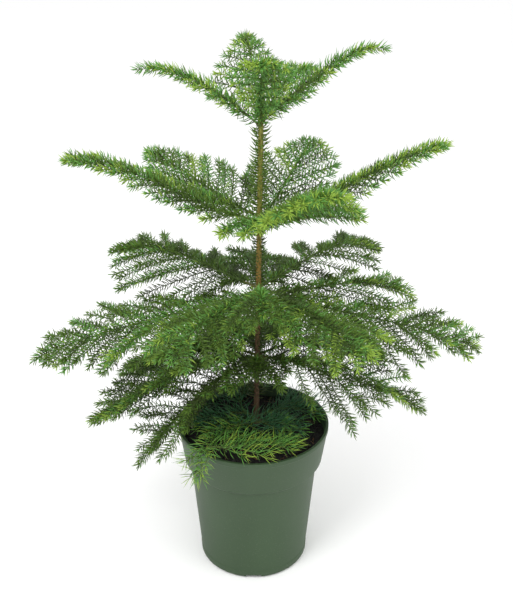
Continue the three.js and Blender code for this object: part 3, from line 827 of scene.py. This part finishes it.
def pot_profile(settings):
    """The pot's outline as radii and heights, up its outside, over the lip and down inside."""
    rim, top, wall, foot = settings.rim_radius, settings.height, settings.wall, settings.foot_radius
    lip_proud, foot_edge, line = 0.0008, 0.0025, 0.0004
    line_height, shoulder = 0.010, 0.006
    band_radius, body_radius = 0.0786, 0.0724
    band_foot = (band_radius, top - settings.band)
    body_top = (body_radius, top - settings.band - shoulder)
    band_top = (rim - lip_proud, top - settings.lip - lip_proud)
    return [
        (foot - foot_edge, 0), (foot, foot_edge), (foot + line, line_height),
        (foot, line_height + line), body_top, band_foot, band_top,
        (rim, top - settings.lip), (rim, top), (rim - lip_proud - wall, top),
        (band_foot[0] - wall, band_foot[1]), (body_top[0] - wall, body_top[1]),
        (foot - wall, settings.wall),
    ]


def model_pot(settings):
    """Extrudes the pot's outline ring by ring, then cuts its drain notches."""
    (radius, low), (next_radius, high), *rest = pot_profile(settings)
    pot = start_piece(
        "pot_shell", bpy.ops.mesh.primitive_cone_add, vertices=POT_SIDES, radius1=radius,
        radius2=next_radius, depth=high - low, location=(0, 0, (low + high) / 2),
    )
    bpy.ops.object.mode_set(mode="OBJECT")
    bpy.ops.object.transform_apply(location=True)
    pick_faces(pot, lambda centre, normal: normal.z > 0.9)
    for wider, higher in rest:
        extrude_to((0, 0, higher), wider / next_radius, (0, 0, higher - high))
        next_radius, high = wider, higher
    bpy.ops.object.mode_set(mode="OBJECT")
    notches = 4
    for number in range(notches):
        cut_notch(pot, settings, number * 2 * math.pi / notches)
    apply_modifier(
        pot, "BEVEL", width=0.0005, segments=2, limit_method="ANGLE", angle_limit=30 * DEGREE,
    )
    end_piece(pot, pot_finish(settings), 35)
    settle(pot, "pot", "pot")


def cut_notch(pot, settings, turn):
    """Cuts one drain notch out of the pot's foot."""
    depth = 0.012
    cutter = start_piece("notch", bpy.ops.mesh.primitive_cube_add, size=1)
    bpy.ops.transform.resize(value=(depth, settings.notch_width, settings.notch_height * 2))
    bpy.ops.transform.translate(value=(settings.foot_radius, 0, 0))
    bpy.ops.transform.rotate(value=-turn, orient_axis="Z", center_override=(0, 0, 0))
    bpy.ops.object.mode_set(mode="OBJECT")
    bpy.ops.object.select_all(action="DESELECT")
    pot.select_set(True)
    bpy.context.view_layer.objects.active = pot
    apply_modifier(pot, "BOOLEAN", operation="DIFFERENCE", object=cutter, solver="EXACT")
    bpy.data.objects.remove(cutter)


# ---------------------------------------------------------------- soil

SOIL_EDGE = SOIL_CROWN - 0.004  # where the soil body's side ends, before its top is heaped


def soil_height(x, y):
    """The soil's surface, a little mounded round the trunk, in metres."""
    radius = np.hypot(x, y)
    mound = SOIL_CROWN - 0.0012 - 0.003 * np.clip(radius / SOIL_RADIUS, 0, 1) ** 3
    waves = np.sin(x * 210 + 1.3) * np.cos(y * 170 - 0.4) + np.sin(x * 93 - y * 121)
    return mound + 0.0007 * waves


def heaped(points):
    """The points of the soil's body, with those of its top heaped up and a little rough."""
    top = points[:, 2] > SOIL_EDGE - 0.001
    rough = np.random.default_rng(11).normal(0, 0.0005, top.sum())
    points[top, 2] = soil_height(points[top, 0], points[top, 1]) + rough
    return points


def model_soil(settings):
    """The soil's body, drawn up inside the pot, with a heaped and rough top."""
    clear, rings = 0.0004, 26
    wall = pot_profile(bpy.context.scene.pine_pot)[:-4:-1]
    (radius, height), *rest = [(r - clear, max(z, SOIL_FOOT)) for r, z in wall]
    body = start_piece(
        "soil_bed", bpy.ops.mesh.primitive_circle_add, vertices=POT_SIDES, radius=radius,
        fill_type="NGON", location=(0, 0, height),
    )
    for wider, higher in (*rest, (SOIL_RADIUS, SOIL_EDGE)):
        extrude_to((0, 0, higher), wider / radius, (0, 0, higher - height))
        radius, height = wider, higher
    for _ in range(rings):
        bpy.ops.mesh.inset(thickness=SOIL_RADIUS / (rings + 1))
    end_shell()
    move_points(body, heaped)
    material = soil_finish("damp_peat", settings.dark_colour, settings.light_colour)
    end_piece(body, material, 80)
    settle(body, "soil", "soil")


def scattered(random, count, edge):
    """Places spread evenly over the soil, in millimetres, each with the surface's height."""
    radius = edge * np.sqrt(random.uniform(0, 1, count))
    turn = random.uniform(0, 2 * math.pi, count)
    x, y = radius * np.cos(turn), radius * np.sin(turn)
    return np.stack((x, y, soil_height(x * MM, y * MM) / MM), -1)


def model_crumbs(settings):
    """Loose crumbs of peat: one rough lump, copied at many sizes and turns."""
    lump = start_piece("crumb", bpy.ops.mesh.primitive_ico_sphere_add, subdivisions=1, radius=1)
    bpy.ops.mesh.quads_convert_to_tris()
    bpy.ops.object.mode_set(mode="OBJECT")
    shape = np.array([vertex.co for vertex in lump.data.vertices])
    triangles = np.array([tuple(face.vertices) for face in lump.data.polygons])
    bpy.data.objects.remove(lump)
    random = np.random.default_rng(5)
    growth = Growth()
    for place in scattered(random, settings.crumbs, SOIL_RADIUS / MM - 1.5):
        size = 0.5 + random.gamma(1.6, 0.45)
        stretch = random.uniform(0.6, 1.3, 3) * (1, 1, 0.8)
        lumpy = shape * random.uniform(0.75, 1.25, (len(shape), 1))
        growth.add(place + turned(lumpy * stretch * size, random), triangles)
    crumbs = growth.piece(
        "soil_crumbs", soil_finish("peat_crumbs", settings.dark_colour, settings.light_colour, 260),
    )
    settle(crumbs, "soil", "soil")


def turned(points, random):
    """The points turned about a random upright axis and tilted a little."""
    turn, tilt = random.uniform(0, 2 * math.pi), random.uniform(-0.7, 0.7)
    c, s, ct, st = math.cos(turn), math.sin(turn), math.cos(tilt), math.sin(tilt)
    about = np.array(((c, -s, 0), (s, c, 0), (0, 0, 1)))
    over = np.array(((1, 0, 0), (0, ct, -st), (0, st, ct)))
    return points @ (about @ over).T


def model_litter(settings):
    """Dry needles and root threads that lie on the soil."""
    random = np.random.default_rng(8)
    growth = Growth()
    count = 6
    for place in scattered(random, settings.litter, SOIL_RADIUS / MM - 5):
        reach = random.uniform(4, 15)
        bend = random.uniform(-0.9, 0.9)
        start = random.uniform(0, 2 * math.pi)
        heading = start + bend * np.linspace(0, 1, count)
        steps = np.stack((np.cos(heading), np.sin(heading)), -1) * reach / count
        flat = place[:2] + np.cumsum(steps, axis=0)
        if (np.hypot(*flat.T) >= SOIL_RADIUS / MM - 2).any():
            continue
        height = soil_height(flat[:, 0] * MM, flat[:, 1] * MM) / MM
        height = height + 0.9 + random.uniform(0, 0.8, count)
        radius = random.uniform(0.2, 0.5) * np.linspace(1, 0.4, count)
        add_stem(growth, np.column_stack((flat, height)), radius, 4)
    litter = growth.piece("soil_litter", twig_finish("dry_litter", settings.litter_colour))
    settle(litter, "soil", "soil")


# ---------------------------------------------------------------- trunk and boughs


def grow_limb(name, centres, radii, facing, sides):
    """A limb drawn up ring by ring through its centres, in metres, with every ring facing one way."""
    tilt = math.acos(max(-1, min(1, facing[2])))
    turn = math.atan2(facing[1], facing[0])
    limb = start_piece(
        name, bpy.ops.mesh.primitive_circle_add, vertices=sides, radius=radii[0],
        fill_type="NGON", location=tuple(centres[0]), rotation=(0, tilt, turn),
    )
    size = radii[0]
    for before, centre, radius in zip(centres, centres[1:], radii[1:]):
        extrude_to(centre, radius / size, centre - before)
        size = radius
    end_shell()
    return limb


def barked(points, relief):
    """The trunk's points, moved out and in for its roots, its leaf cushions and its cracks."""
    height = points[:, 2] / MM
    middle = np.array([trunk_centre(z) for z in height])[:, :2] * MM
    out = points[:, :2] - middle
    turn = np.arctan2(out[:, 1], out[:, 0])
    flare = np.exp(-(height - TRUNK["low"]) / TRUNK["flare_height"])
    roots = TRUNK["root_depth"] * flare * np.cos(TRUNK["flare_roots"] * turn)
    left_spiral = np.cos(5 * turn + height * 0.9)
    right_spiral = np.cos(8 * turn - height * 0.62)
    cushions = np.maximum(0, left_spiral) * np.maximum(0, right_spiral) - 0.2
    fade = np.exp(-(height - TRUNK["low"]) / 60)
    cracks = np.sin(17 * turn + 2.2 * np.sin(height * 0.35)) * fade
    swell = 1 + roots + (relief * (cushions + 0.35 * cracks)) / np.hypot(*out.T)
    points[:, :2] = middle + out * swell[:, None]
    return points


def model_trunk(settings):
    """The trunk, with its flare, the cushions that old needles left, and its bud."""
    rings, crowding = 92, 0.13
    share = np.linspace(0, 1, rings)
    eased = share - crowding * np.sin(2 * math.pi * share)
    heights = TRUNK["low"] + (TRUNK["high"] - TRUNK["low"]) * eased
    centres = [trunk_centre(height) * MM for height in heights]
    radii = [trunk_radius(height) * MM for height in heights]
    trunk = grow_limb("trunk_bark", centres, radii, (0, 0, 1), 12)
    apply_modifier(trunk, "SUBSURF", levels=2, render_levels=2)
    move_points(trunk, lambda points: barked(points, settings.relief))
    material = bark_finish("trunk_bark", (
        (0, settings.foot_colour), (0.25, settings.foot_colour),
        (0.5, settings.middle_colour), (0.75, settings.tip_colour),
    ), TRUNK["low"] * MM, TRUNK["high"] * MM)
    end_piece(trunk, material, 60)
    settle(trunk, "trunk_bark", "trunk")


# The stretches of the trunk with needles: from where to where, the needles a millimetre, their
# length and their tint. The tints darken towards the foot: partly older needles, partly painted
# shade.
TRUNK_NEEDLES = (
    (200, 246, 2, 15, "shade"), (258, 326, 1.8, 15, "deep"), (340, 412, 2.1, 11, "deep"),
    (420, 512, 2.2, 13.5, "mid"), (516, 531, 2.2, 10, "fresh"),
)


def model_trunk_needles(settings):
    """Awl needles that stand on the trunk between the whorls and round its bud."""
    random = np.random.default_rng(21)
    radius = 0.72 * settings.needle_width
    count = 12
    parts = []
    for low, high, dense, reach, tint in TRUNK_NEEDLES:
        points = np.array([trunk_centre(z) for z in np.linspace(low, high, count)])
        # A stem that stood exactly upright would have no side to start the spiral from.
        points[:, 0] += np.linspace(0, 0.01, count)
        parts.append(needles_on(
            points, random, dense=dense, reach=(reach, reach), radius=radius,
            stem=trunk_radius(low), lean=74, curve=24, flat=1, rise=0, tint=TINTS.index(tint),
            tip_tint=TINTS.index(tint), tip_length=1,
        ))
    lay_needles("trunk", join_needles(parts), "needles_fresh", ["trunk"])


def grow_bough(arm):
    """The bare start of an arm, swollen where it leaves the trunk."""
    traits = WHORLS[arm.whorl]
    rings, sunk, overlap = 9, 0.6, 2
    near = (trunk_radius(traits["height"]) - sunk) / arm.reach
    far = (traits["bare"] + overlap) / arm.reach
    centres = arm_point(arm, np.linspace(near, far, rings)) * MM
    taper = np.linspace(1, 0.72, rings) + 0.45 * np.exp(-np.arange(rings) * 1.4)
    radii = traits["bough"] * taper * MM
    turn = arm.azimuth * DEGREE
    facing = (math.cos(turn), math.sin(turn), 0)
    return grow_limb(f"{arm.whorl}_{arm.name}_limb", list(centres), list(radii), facing, 10)


def joined(name, pieces):
    """The pieces as one, which is left active."""
    bpy.ops.object.select_all(action="DESELECT")
    for piece in pieces:
        piece.select_set(True)
    whole = pieces[0]
    bpy.context.view_layer.objects.active = whole
    bpy.ops.object.join()
    whole.name = whole.data.name = name
    return whole


def model_boughs(whorl, settings):
    """The boughs of a whorl's arms, with ridged bark."""
    arms = whorl_arms(whorl)
    boughs = joined(f"{whorl}_boughs", [grow_bough(arm) for arm in arms])
    apply_modifier(boughs, "SUBSURF", levels=1, render_levels=1)
    ridges = bpy.data.textures.new(f"{whorl}_ridges", "CLOUDS")
    ridges.noise_scale = 0.0016
    apply_modifier(boughs, "DISPLACE", texture=ridges, strength=0.0005, texture_coords="LOCAL")
    bpy.data.textures.remove(ridges)
    shade = settings.bough_colour
    low = WHORLS[whorl]["height"] * MM
    material = bark_finish(f"{whorl}_bough_bark", ((0, shade), (1, shade)), low, low + 0.05)
    end_piece(boughs, material, 60)
    settle(boughs, "bough_bark", *(f"{whorl}_{arm.name}_bough" for arm in arms))


# ---------------------------------------------------------------- foliage


def lay_needles(name, needles, slot, nodes):
    """One piece for the needles of each tint."""
    for number, tint in enumerate(TINTS):
        chosen = needles.tint == number
        if not chosen.any():
            continue
        growth = Growth()
        add_needles(growth, Needles(*(values[chosen] for values in needles)))
        piece = growth.piece(f"{name}_needles_{tint}", bpy.data.materials[f"needles_{tint}"])
        settle(piece, slot, *nodes)


def mottled(needles, random):
    """Moves some needles one tint up or down, so that no spray is of one even colour."""
    change = random.choice((-1, 0, 1), len(needles.tint), p=(0.12, 0.76, 0.12))
    tint = np.clip(needles.tint + change, 0, LIME)
    return needles._replace(tint=np.where(needles.tint == SOFT, needles.tint, tint))


def twig_tints(arm, random, share=1.0):
    """The tints of a side twig and of its tip. Twigs near the trunk are older and darker, partly
    painted shade.
    """
    traits = WHORLS[arm.whorl]
    tint = TINTS.index(random.choice(list(traits["tints"]), p=list(traits["tints"].values())))
    # Light new growth is partly real and partly painted light, dealt out more on arms facing the
    # front.
    lit_new_growth = random.uniform() < arm.bright
    # A twig near the trunk goes a tint darker: partly older needles, partly painted shade in the
    # foliage.
    if random.uniform() > share * 2.5:
        tint = max(0, tint - 1)
    if lit_new_growth:
        return min(tint + 1, LIME), LIME
    return tint, max(tint, TINTS.index(traits["tip_tint"]))


def grow_axis(arm, twigs, random, radius):
    """Adds an arm's own stem to the twigs, and gives the needles on it."""
    traits = traits_of(arm)
    axis = arm_point(arm, np.linspace(traits["bare"] / arm.reach, 1, 24))
    add_stem(twigs, axis, np.linspace(traits["stem"], TWIG["end_radius"], len(axis)), 7)
    tint, tip_tint = twig_tints(arm, random)
    near = (trunk_radius(traits["height"]) + 2) / arm.reach
    return needles_on(
        arm_point(arm, np.linspace(near, 1, 30)), random, dense=traits["dense"] * 1.2,
        reach=(traits["inner"], traits["outer"]), radius=radius, stem=traits["stem"],
        lean=66, curve=18, flat=1, rise=0.05, tint=tint, tip_tint=tip_tint, tip_length=12,
    )


def grow_twig(arm, twig, twigs, random, radius):
    """Adds a side twig to the twigs, and gives the needles on it."""
    traits = traits_of(arm)
    points = twig_points(twig, traits["curl"])
    thick = TWIG["root_radius"] * (1 - TWIG["thinner"] * twig.share)
    add_stem(twigs, points, np.linspace(thick, TWIG["end_radius"], len(points)), 5)
    tint, tip_tint = twig_tints(arm, random, twig.share)
    reach = traits["inner"] + (traits["outer"] - traits["inner"]) * twig.share
    return needles_on(
        points, random, dense=traits["dense"], reach=(reach, traits["outer"]),
        radius=radius, stem=thick, lean=64, curve=18, flat=traits["flat"], rise=0.15,
        tint=tint, tip_tint=tip_tint, tip_length=6 + 6 * random.uniform(), start=1,
    )


def model_foliage(whorl, settings):
    """The twigs and needles of a whorl's arms."""
    twigs = Growth()
    parts = []
    for arm in whorl_arms(whorl):
        random = np.random.default_rng(ARMS.index(arm) + 100)
        radius = traits_of(arm)["broad"] * settings.needle_width
        parts.append(grow_axis(arm, twigs, random, radius))
        parts += [grow_twig(arm, twig, twigs, random, radius) for twig in side_twigs(arm)]
    nodes = [f"{whorl}_{arm.name}_foliage" for arm in whorl_arms(whorl)]
    slot = "needles_fresh" if whorl in ("top", "upper") else "needles_mature"
    stems = twigs.piece(f"{whorl}_twigs", twig_finish(f"{whorl}_twig_bark", settings.twig))
    settle(stems, slot, *nodes)
    lay_needles(whorl, mottled(join_needles(parts), np.random.default_rng(7)), slot, nodes)


# ---------------------------------------------------------------- soft shoots on the soil

# A shoot's stem starts beside the trunk's foot. Each branch starts on the stem or on the branch
# before it. tints are the needles of the stem and of each branch.
Shoot = namedtuple("Shoot", "name stem branches tints")
SHOOTS = [
    Shoot(
        "front", [(-20, -18, 181), (-44, -56, 184), (-58, -84, 181), (-59, -98, 164)],
        [
            [(-49, -65, 184), (-22, -69, 187), (14, -63, 186), (50, -50, 179)],
            [(-22, -22, 182), (-4, -20, 185), (18, -18, 185), (36, -16, 181)],
        ],
        ("fresh", "fresh", "soft"),
    ),
    Shoot(
        "left", [(-24, 10, 180), (-50, 4, 179), (-75, 0, 174)],
        [
            [(-24, 9, 179), (-38, -10, 180), (-54, -28, 176)],
            [(-11, 12, 178), (-18, 33, 183), (-34, 53, 182), (-50, 62, 176)],
            [(-18, 33, 183), (-10, 54, 183), (-5, 71, 178)],
        ],
        ("soft", "soft", "soft", "deep"),
    ),
    Shoot(
        "right", [(28, 13, 182), (54, 12, 184), (79, 6, 181)],
        [
            [(26, 13, 181), (44, 30, 183), (56, 46, 180)],
            [(17, 12, 179), (26, -6, 180), (37, -21, 178), (48, -28, 172)],
        ],
        ("soft", "soft", "soft"),
    ),
]

# Where a shoot's stem starts and what it keeps from the trunk, its radii and its needles. Then its
# side twigs: their spacing, the longest one's length and how much of it is lost by the limb's end,
# how far they turn off the limb and sweep forwards, how they lift and sag, with the spreads of turn
# and lift, and where on the limb the first and the last stand.
SHOOT = {
    "start": 176, "clear": 0.8, "radius": 1.2, "end_radius": 0.4, "needle": 22, "dense": 0.62,
    "broad": 0.42, "spacing": 22, "twig": 44, "taper": 0.78, "angle": 50, "angle_spread": 8,
    "sweep": 0.35, "lift": 0.25, "lift_spread": 0.1, "sag": 0.35, "first": 0.12, "last": 0.92,
}


def smooth_path(points, count=18):
    """A smooth curve through the points, as evenly shared points."""
    points = np.array(points, float)
    padded = np.vstack((2 * points[0] - points[1], points, 2 * points[-1] - points[-2]))
    made = []
    for share in np.linspace(0, len(points) - 1 - 1e-6, count):
        i, t = int(share), share % 1
        a, b, c, d = padded[i:i + 4]
        made.append(0.5 * (
            2 * b + (c - a) * t + (2 * a - 5 * b + 4 * c - d) * t**2
            + (3 * b - a - 3 * c + d) * t**3
        ))
    return np.array(made)


def shoot_twig(root, ahead, side, share, random):
    """The middle line of a shoot's side twig, which starts at a share of the stem under it."""
    turn = side * (SHOOT["angle"] + random.normal(0, SHOOT["angle_spread"])) * DEGREE
    heading = math.atan2(ahead[1], ahead[0]) + turn
    reach = SHOOT["twig"] * (1 - SHOOT["taper"] * share) * random.uniform(0.75, 1.2)
    steps = np.linspace(0, 1, 5)
    lift = SHOOT["lift"] + random.normal(0, SHOOT["lift_spread"])
    rise = steps * reach * (lift - SHOOT["sag"] * steps)
    bend = heading - side * SHOOT["sweep"] * steps
    out = reach * steps
    return root + np.stack((out * np.cos(bend), out * np.sin(bend), rise), -1)


def shoot_limbs(shoot):
    """The points of a shoot's stem, from beside the trunk, and of its branches."""
    foot = trunk_centre(SHOOT["start"])
    way = np.array(shoot.stem[0], float) - foot
    way[2] = 0
    foot = foot + unit(way) * (trunk_radius(SHOOT["start"]) + SHOOT["clear"])
    return [[foot, *shoot.stem], *shoot.branches]


def shoot_paths(shoot, random):
    """The middle lines of a shoot's limbs and side twigs, each with its tint and thickness."""
    paths = []
    for points, tint in zip(shoot_limbs(shoot), shoot.tints):
        path = smooth_path(points)
        paths.append((path, tint, 1))
        whole = np.linalg.norm(np.diff(path, axis=0), axis=1).sum()
        along = unit(np.gradient(path, axis=0))
        count = max(2, round(whole / SHOOT["spacing"]))
        for number in range(count):
            share = SHOOT["first"] + (SHOOT["last"] - SHOOT["first"]) * (number + 0.5) / count
            spot = round(share * (len(path) - 1))
            for side in (1, -1):
                twig = shoot_twig(path[spot], along[spot], side, share, random)
                if clears_pot(twig).all():
                    paths.append((twig, tint, 0.6))
    return paths


def model_shoots(settings):
    """The soft shoots: limp stems with long thin needles."""
    stems = Growth()
    parts = []
    random = np.random.default_rng(31)
    for shoot in SHOOTS:
        for path, tint, thick in shoot_paths(shoot, random):
            radii = np.linspace(SHOOT["radius"] * thick, SHOOT["end_radius"], len(path))
            add_stem(stems, path, radii, 5)
            tip = TINTS.index("lime" if tint == "fresh" else "fresh")
            parts.append(needles_on(
                path, random, dense=SHOOT["dense"], reach=(SHOOT["needle"], SHOOT["needle"] * 0.75),
                radius=SHOOT["broad"] * settings.needle_width, stem=SHOOT["radius"] * thick,
                lean=56, curve=14, flat=0.6, rise=0.45, tint=TINTS.index(tint), tip_tint=tip,
                tip_length=9 * thick, start=2,
            ))
    nodes = [f"shoot_{shoot.name}" for shoot in SHOOTS]
    piece = stems.piece("shoot_stems", twig_finish("shoot_skin", settings.twig))
    settle(piece, "needles_soft", *nodes)
    lay_needles("shoot", mottled(join_needles(parts), random), "needles_soft", nodes)


# ---------------------------------------------------------------- stage


def soft_light(name, place, aim, size, power):
    """A square soft light that shines at a point."""
    light = bpy.data.lights.new(name, "AREA")
    light.size, light.energy = size, power
    lamp = bpy.data.objects.new(name, light)
    bpy.context.scene.collection.objects.link(lamp)
    lamp.location = place
    away = np.array(place, float) - np.array(aim, float)
    lamp.rotation_euler = (
        math.atan2(math.hypot(away[0], away[1]), away[2]), 0,
        math.atan2(away[0], -away[1]),
    )


def model_floor(settings):
    """A pale floor."""
    floor = start_piece("floor", bpy.ops.mesh.primitive_plane_add, size=40)
    material, _, _, skin = shader("pale_floor")
    skin.inputs["Base Color"].default_value = (*settings.floor_colour, 1)
    skin.inputs["Roughness"].default_value = 0.9
    end_piece(floor, material)


def add_studio():
    """An even white sky and two soft lights that shine at the plant's middle."""
    world = bpy.data.worlds.new("studio")
    world.use_nodes = True
    sky = world.node_tree.nodes["Background"]
    sky.inputs["Color"].default_value = (1, 1, 1, 1)
    sky.inputs["Strength"].default_value = 1
    bpy.context.scene.world = world
    middle = (0, 0, 0.3)
    soft_light("key", (-0.9, -1.1, 1.9), middle, 0.9, 22)
    soft_light("fill", (1.4, -0.8, 1.1), middle, 1.2, 9)


def add_camera(settings):
    """The camera, in front of the plant and looking down at it."""
    scene = bpy.context.scene
    lens = bpy.data.cameras.new("camera")
    lens.sensor_width, lens.lens = 36, settings.lens
    camera = bpy.data.objects.new("camera", lens)
    scene.collection.objects.link(camera)
    camera.location = (settings.camera_side, -settings.distance, settings.camera_height)
    camera.rotation_euler = (math.pi / 2 - settings.pitch, 0, 0)
    scene.camera = camera
    scene.view_settings.view_transform = "Standard"


# ---------------------------------------------------------------- operators


class PINE_OT_add_stage(bpy.types.Operator):
    """Add the floor, the lights and the camera"""

    bl_idname = "pine.add_stage"
    bl_label = "Add Stage"

    def execute(self, context):
        settings = context.scene.pine_stage
        model_floor(settings)
        add_studio()
        add_camera(settings)
        return {"FINISHED"}


class PINE_OT_mix_tints(bpy.types.Operator):
    """Mix the needles' tints, which the trunk, the foliage and the shoots share"""

    bl_idname = "pine.mix_tints"
    bl_label = "Mix Needle Tints"

    def execute(self, context):
        for tint in TINTS:
            needle_finish(tint, getattr(context.scene.pine_foliage, tint))
        return {"FINISHED"}


class PINE_OT_add_pot(bpy.types.Operator):
    """Add the nursery pot"""

    bl_idname = "pine.add_pot"
    bl_label = "Add Pot"

    def execute(self, context):
        model_pot(context.scene.pine_pot)
        return {"FINISHED"}


class PINE_OT_add_soil(bpy.types.Operator):
    """Add the soil, its crumbs and its litter"""

    bl_idname = "pine.add_soil"
    bl_label = "Add Soil"

    def execute(self, context):
        settings = context.scene.pine_soil
        model_soil(settings)
        model_crumbs(settings)
        model_litter(settings)
        return {"FINISHED"}


class PINE_OT_add_trunk(bpy.types.Operator):
    """Add the trunk and its needles"""

    bl_idname = "pine.add_trunk"
    bl_label = "Add Trunk"

    def execute(self, context):
        model_trunk(context.scene.pine_trunk)
        model_trunk_needles(context.scene.pine_foliage)
        return {"FINISHED"}


class PINE_OT_add_whorl(bpy.types.Operator):
    """Add one whorl of boughs with its twigs and needles"""

    bl_idname = "pine.add_whorl"
    bl_label = "Add Whorl"

    whorl: EnumProperty(
        name="Whorl", description="The whorl to add",
        items=[(name, name.title(), f"The {name} whorl") for name in WHORLS],
    )

    def execute(self, context):
        model_boughs(self.whorl, context.scene.pine_trunk)
        model_foliage(self.whorl, context.scene.pine_foliage)
        return {"FINISHED"}


class PINE_OT_add_shoots(bpy.types.Operator):
    """Add the soft shoots that lie on the soil"""

    bl_idname = "pine.add_shoots"
    bl_label = "Add Soft Shoots"

    def execute(self, context):
        model_shoots(context.scene.pine_foliage)
        return {"FINISHED"}


class PINE_PT_panel(bpy.types.Panel):
    """The plant's pieces and settings"""

    bl_label = "Norfolk Island Pine"
    bl_space_type = "VIEW_3D"
    bl_region_type = "UI"
    bl_category = "Pine"

    def draw(self, context):
        for operator in OPERATORS:
            if operator is not PINE_OT_add_whorl:
                self.layout.operator(operator.bl_idname)
        for name in WHORLS:
            button = self.layout.operator(PINE_OT_add_whorl.bl_idname, text=f"Add {name} whorl")
            button.whorl = name
        for name, group in SETTINGS.items():
            box = self.layout.box()
            for key in group.__annotations__:
                box.prop(getattr(context.scene, name), key)


OPERATORS = (
    PINE_OT_add_stage, PINE_OT_mix_tints, PINE_OT_add_pot, PINE_OT_add_soil, PINE_OT_add_trunk,
    PINE_OT_add_whorl, PINE_OT_add_shoots,
)


def register():
    """Registers the settings, the operators and the panel."""
    for group in (*SETTINGS.values(), *OPERATORS, PINE_PT_panel):
        bpy.utils.register_class(group)
    for name, group in SETTINGS.items():
        setattr(bpy.types.Scene, name, PointerProperty(type=group))


def unregister():
    """Removes what register added."""
    for name in SETTINGS:
        delattr(bpy.types.Scene, name)
    for group in reversed((*SETTINGS.values(), *OPERATORS, PINE_PT_panel)):
        bpy.utils.unregister_class(group)


def main():
    """Makes the whole plant."""
    register()
    bpy.ops.pine.add_stage()
    bpy.ops.pine.mix_tints()
    bpy.ops.pine.add_pot()
    bpy.ops.pine.add_soil()
    bpy.ops.pine.add_trunk()
    for whorl in WHORLS:
        bpy.ops.pine.add_whorl(whorl=whorl)
    bpy.ops.pine.add_shoots()


if __name__ == "__main__":
    main()
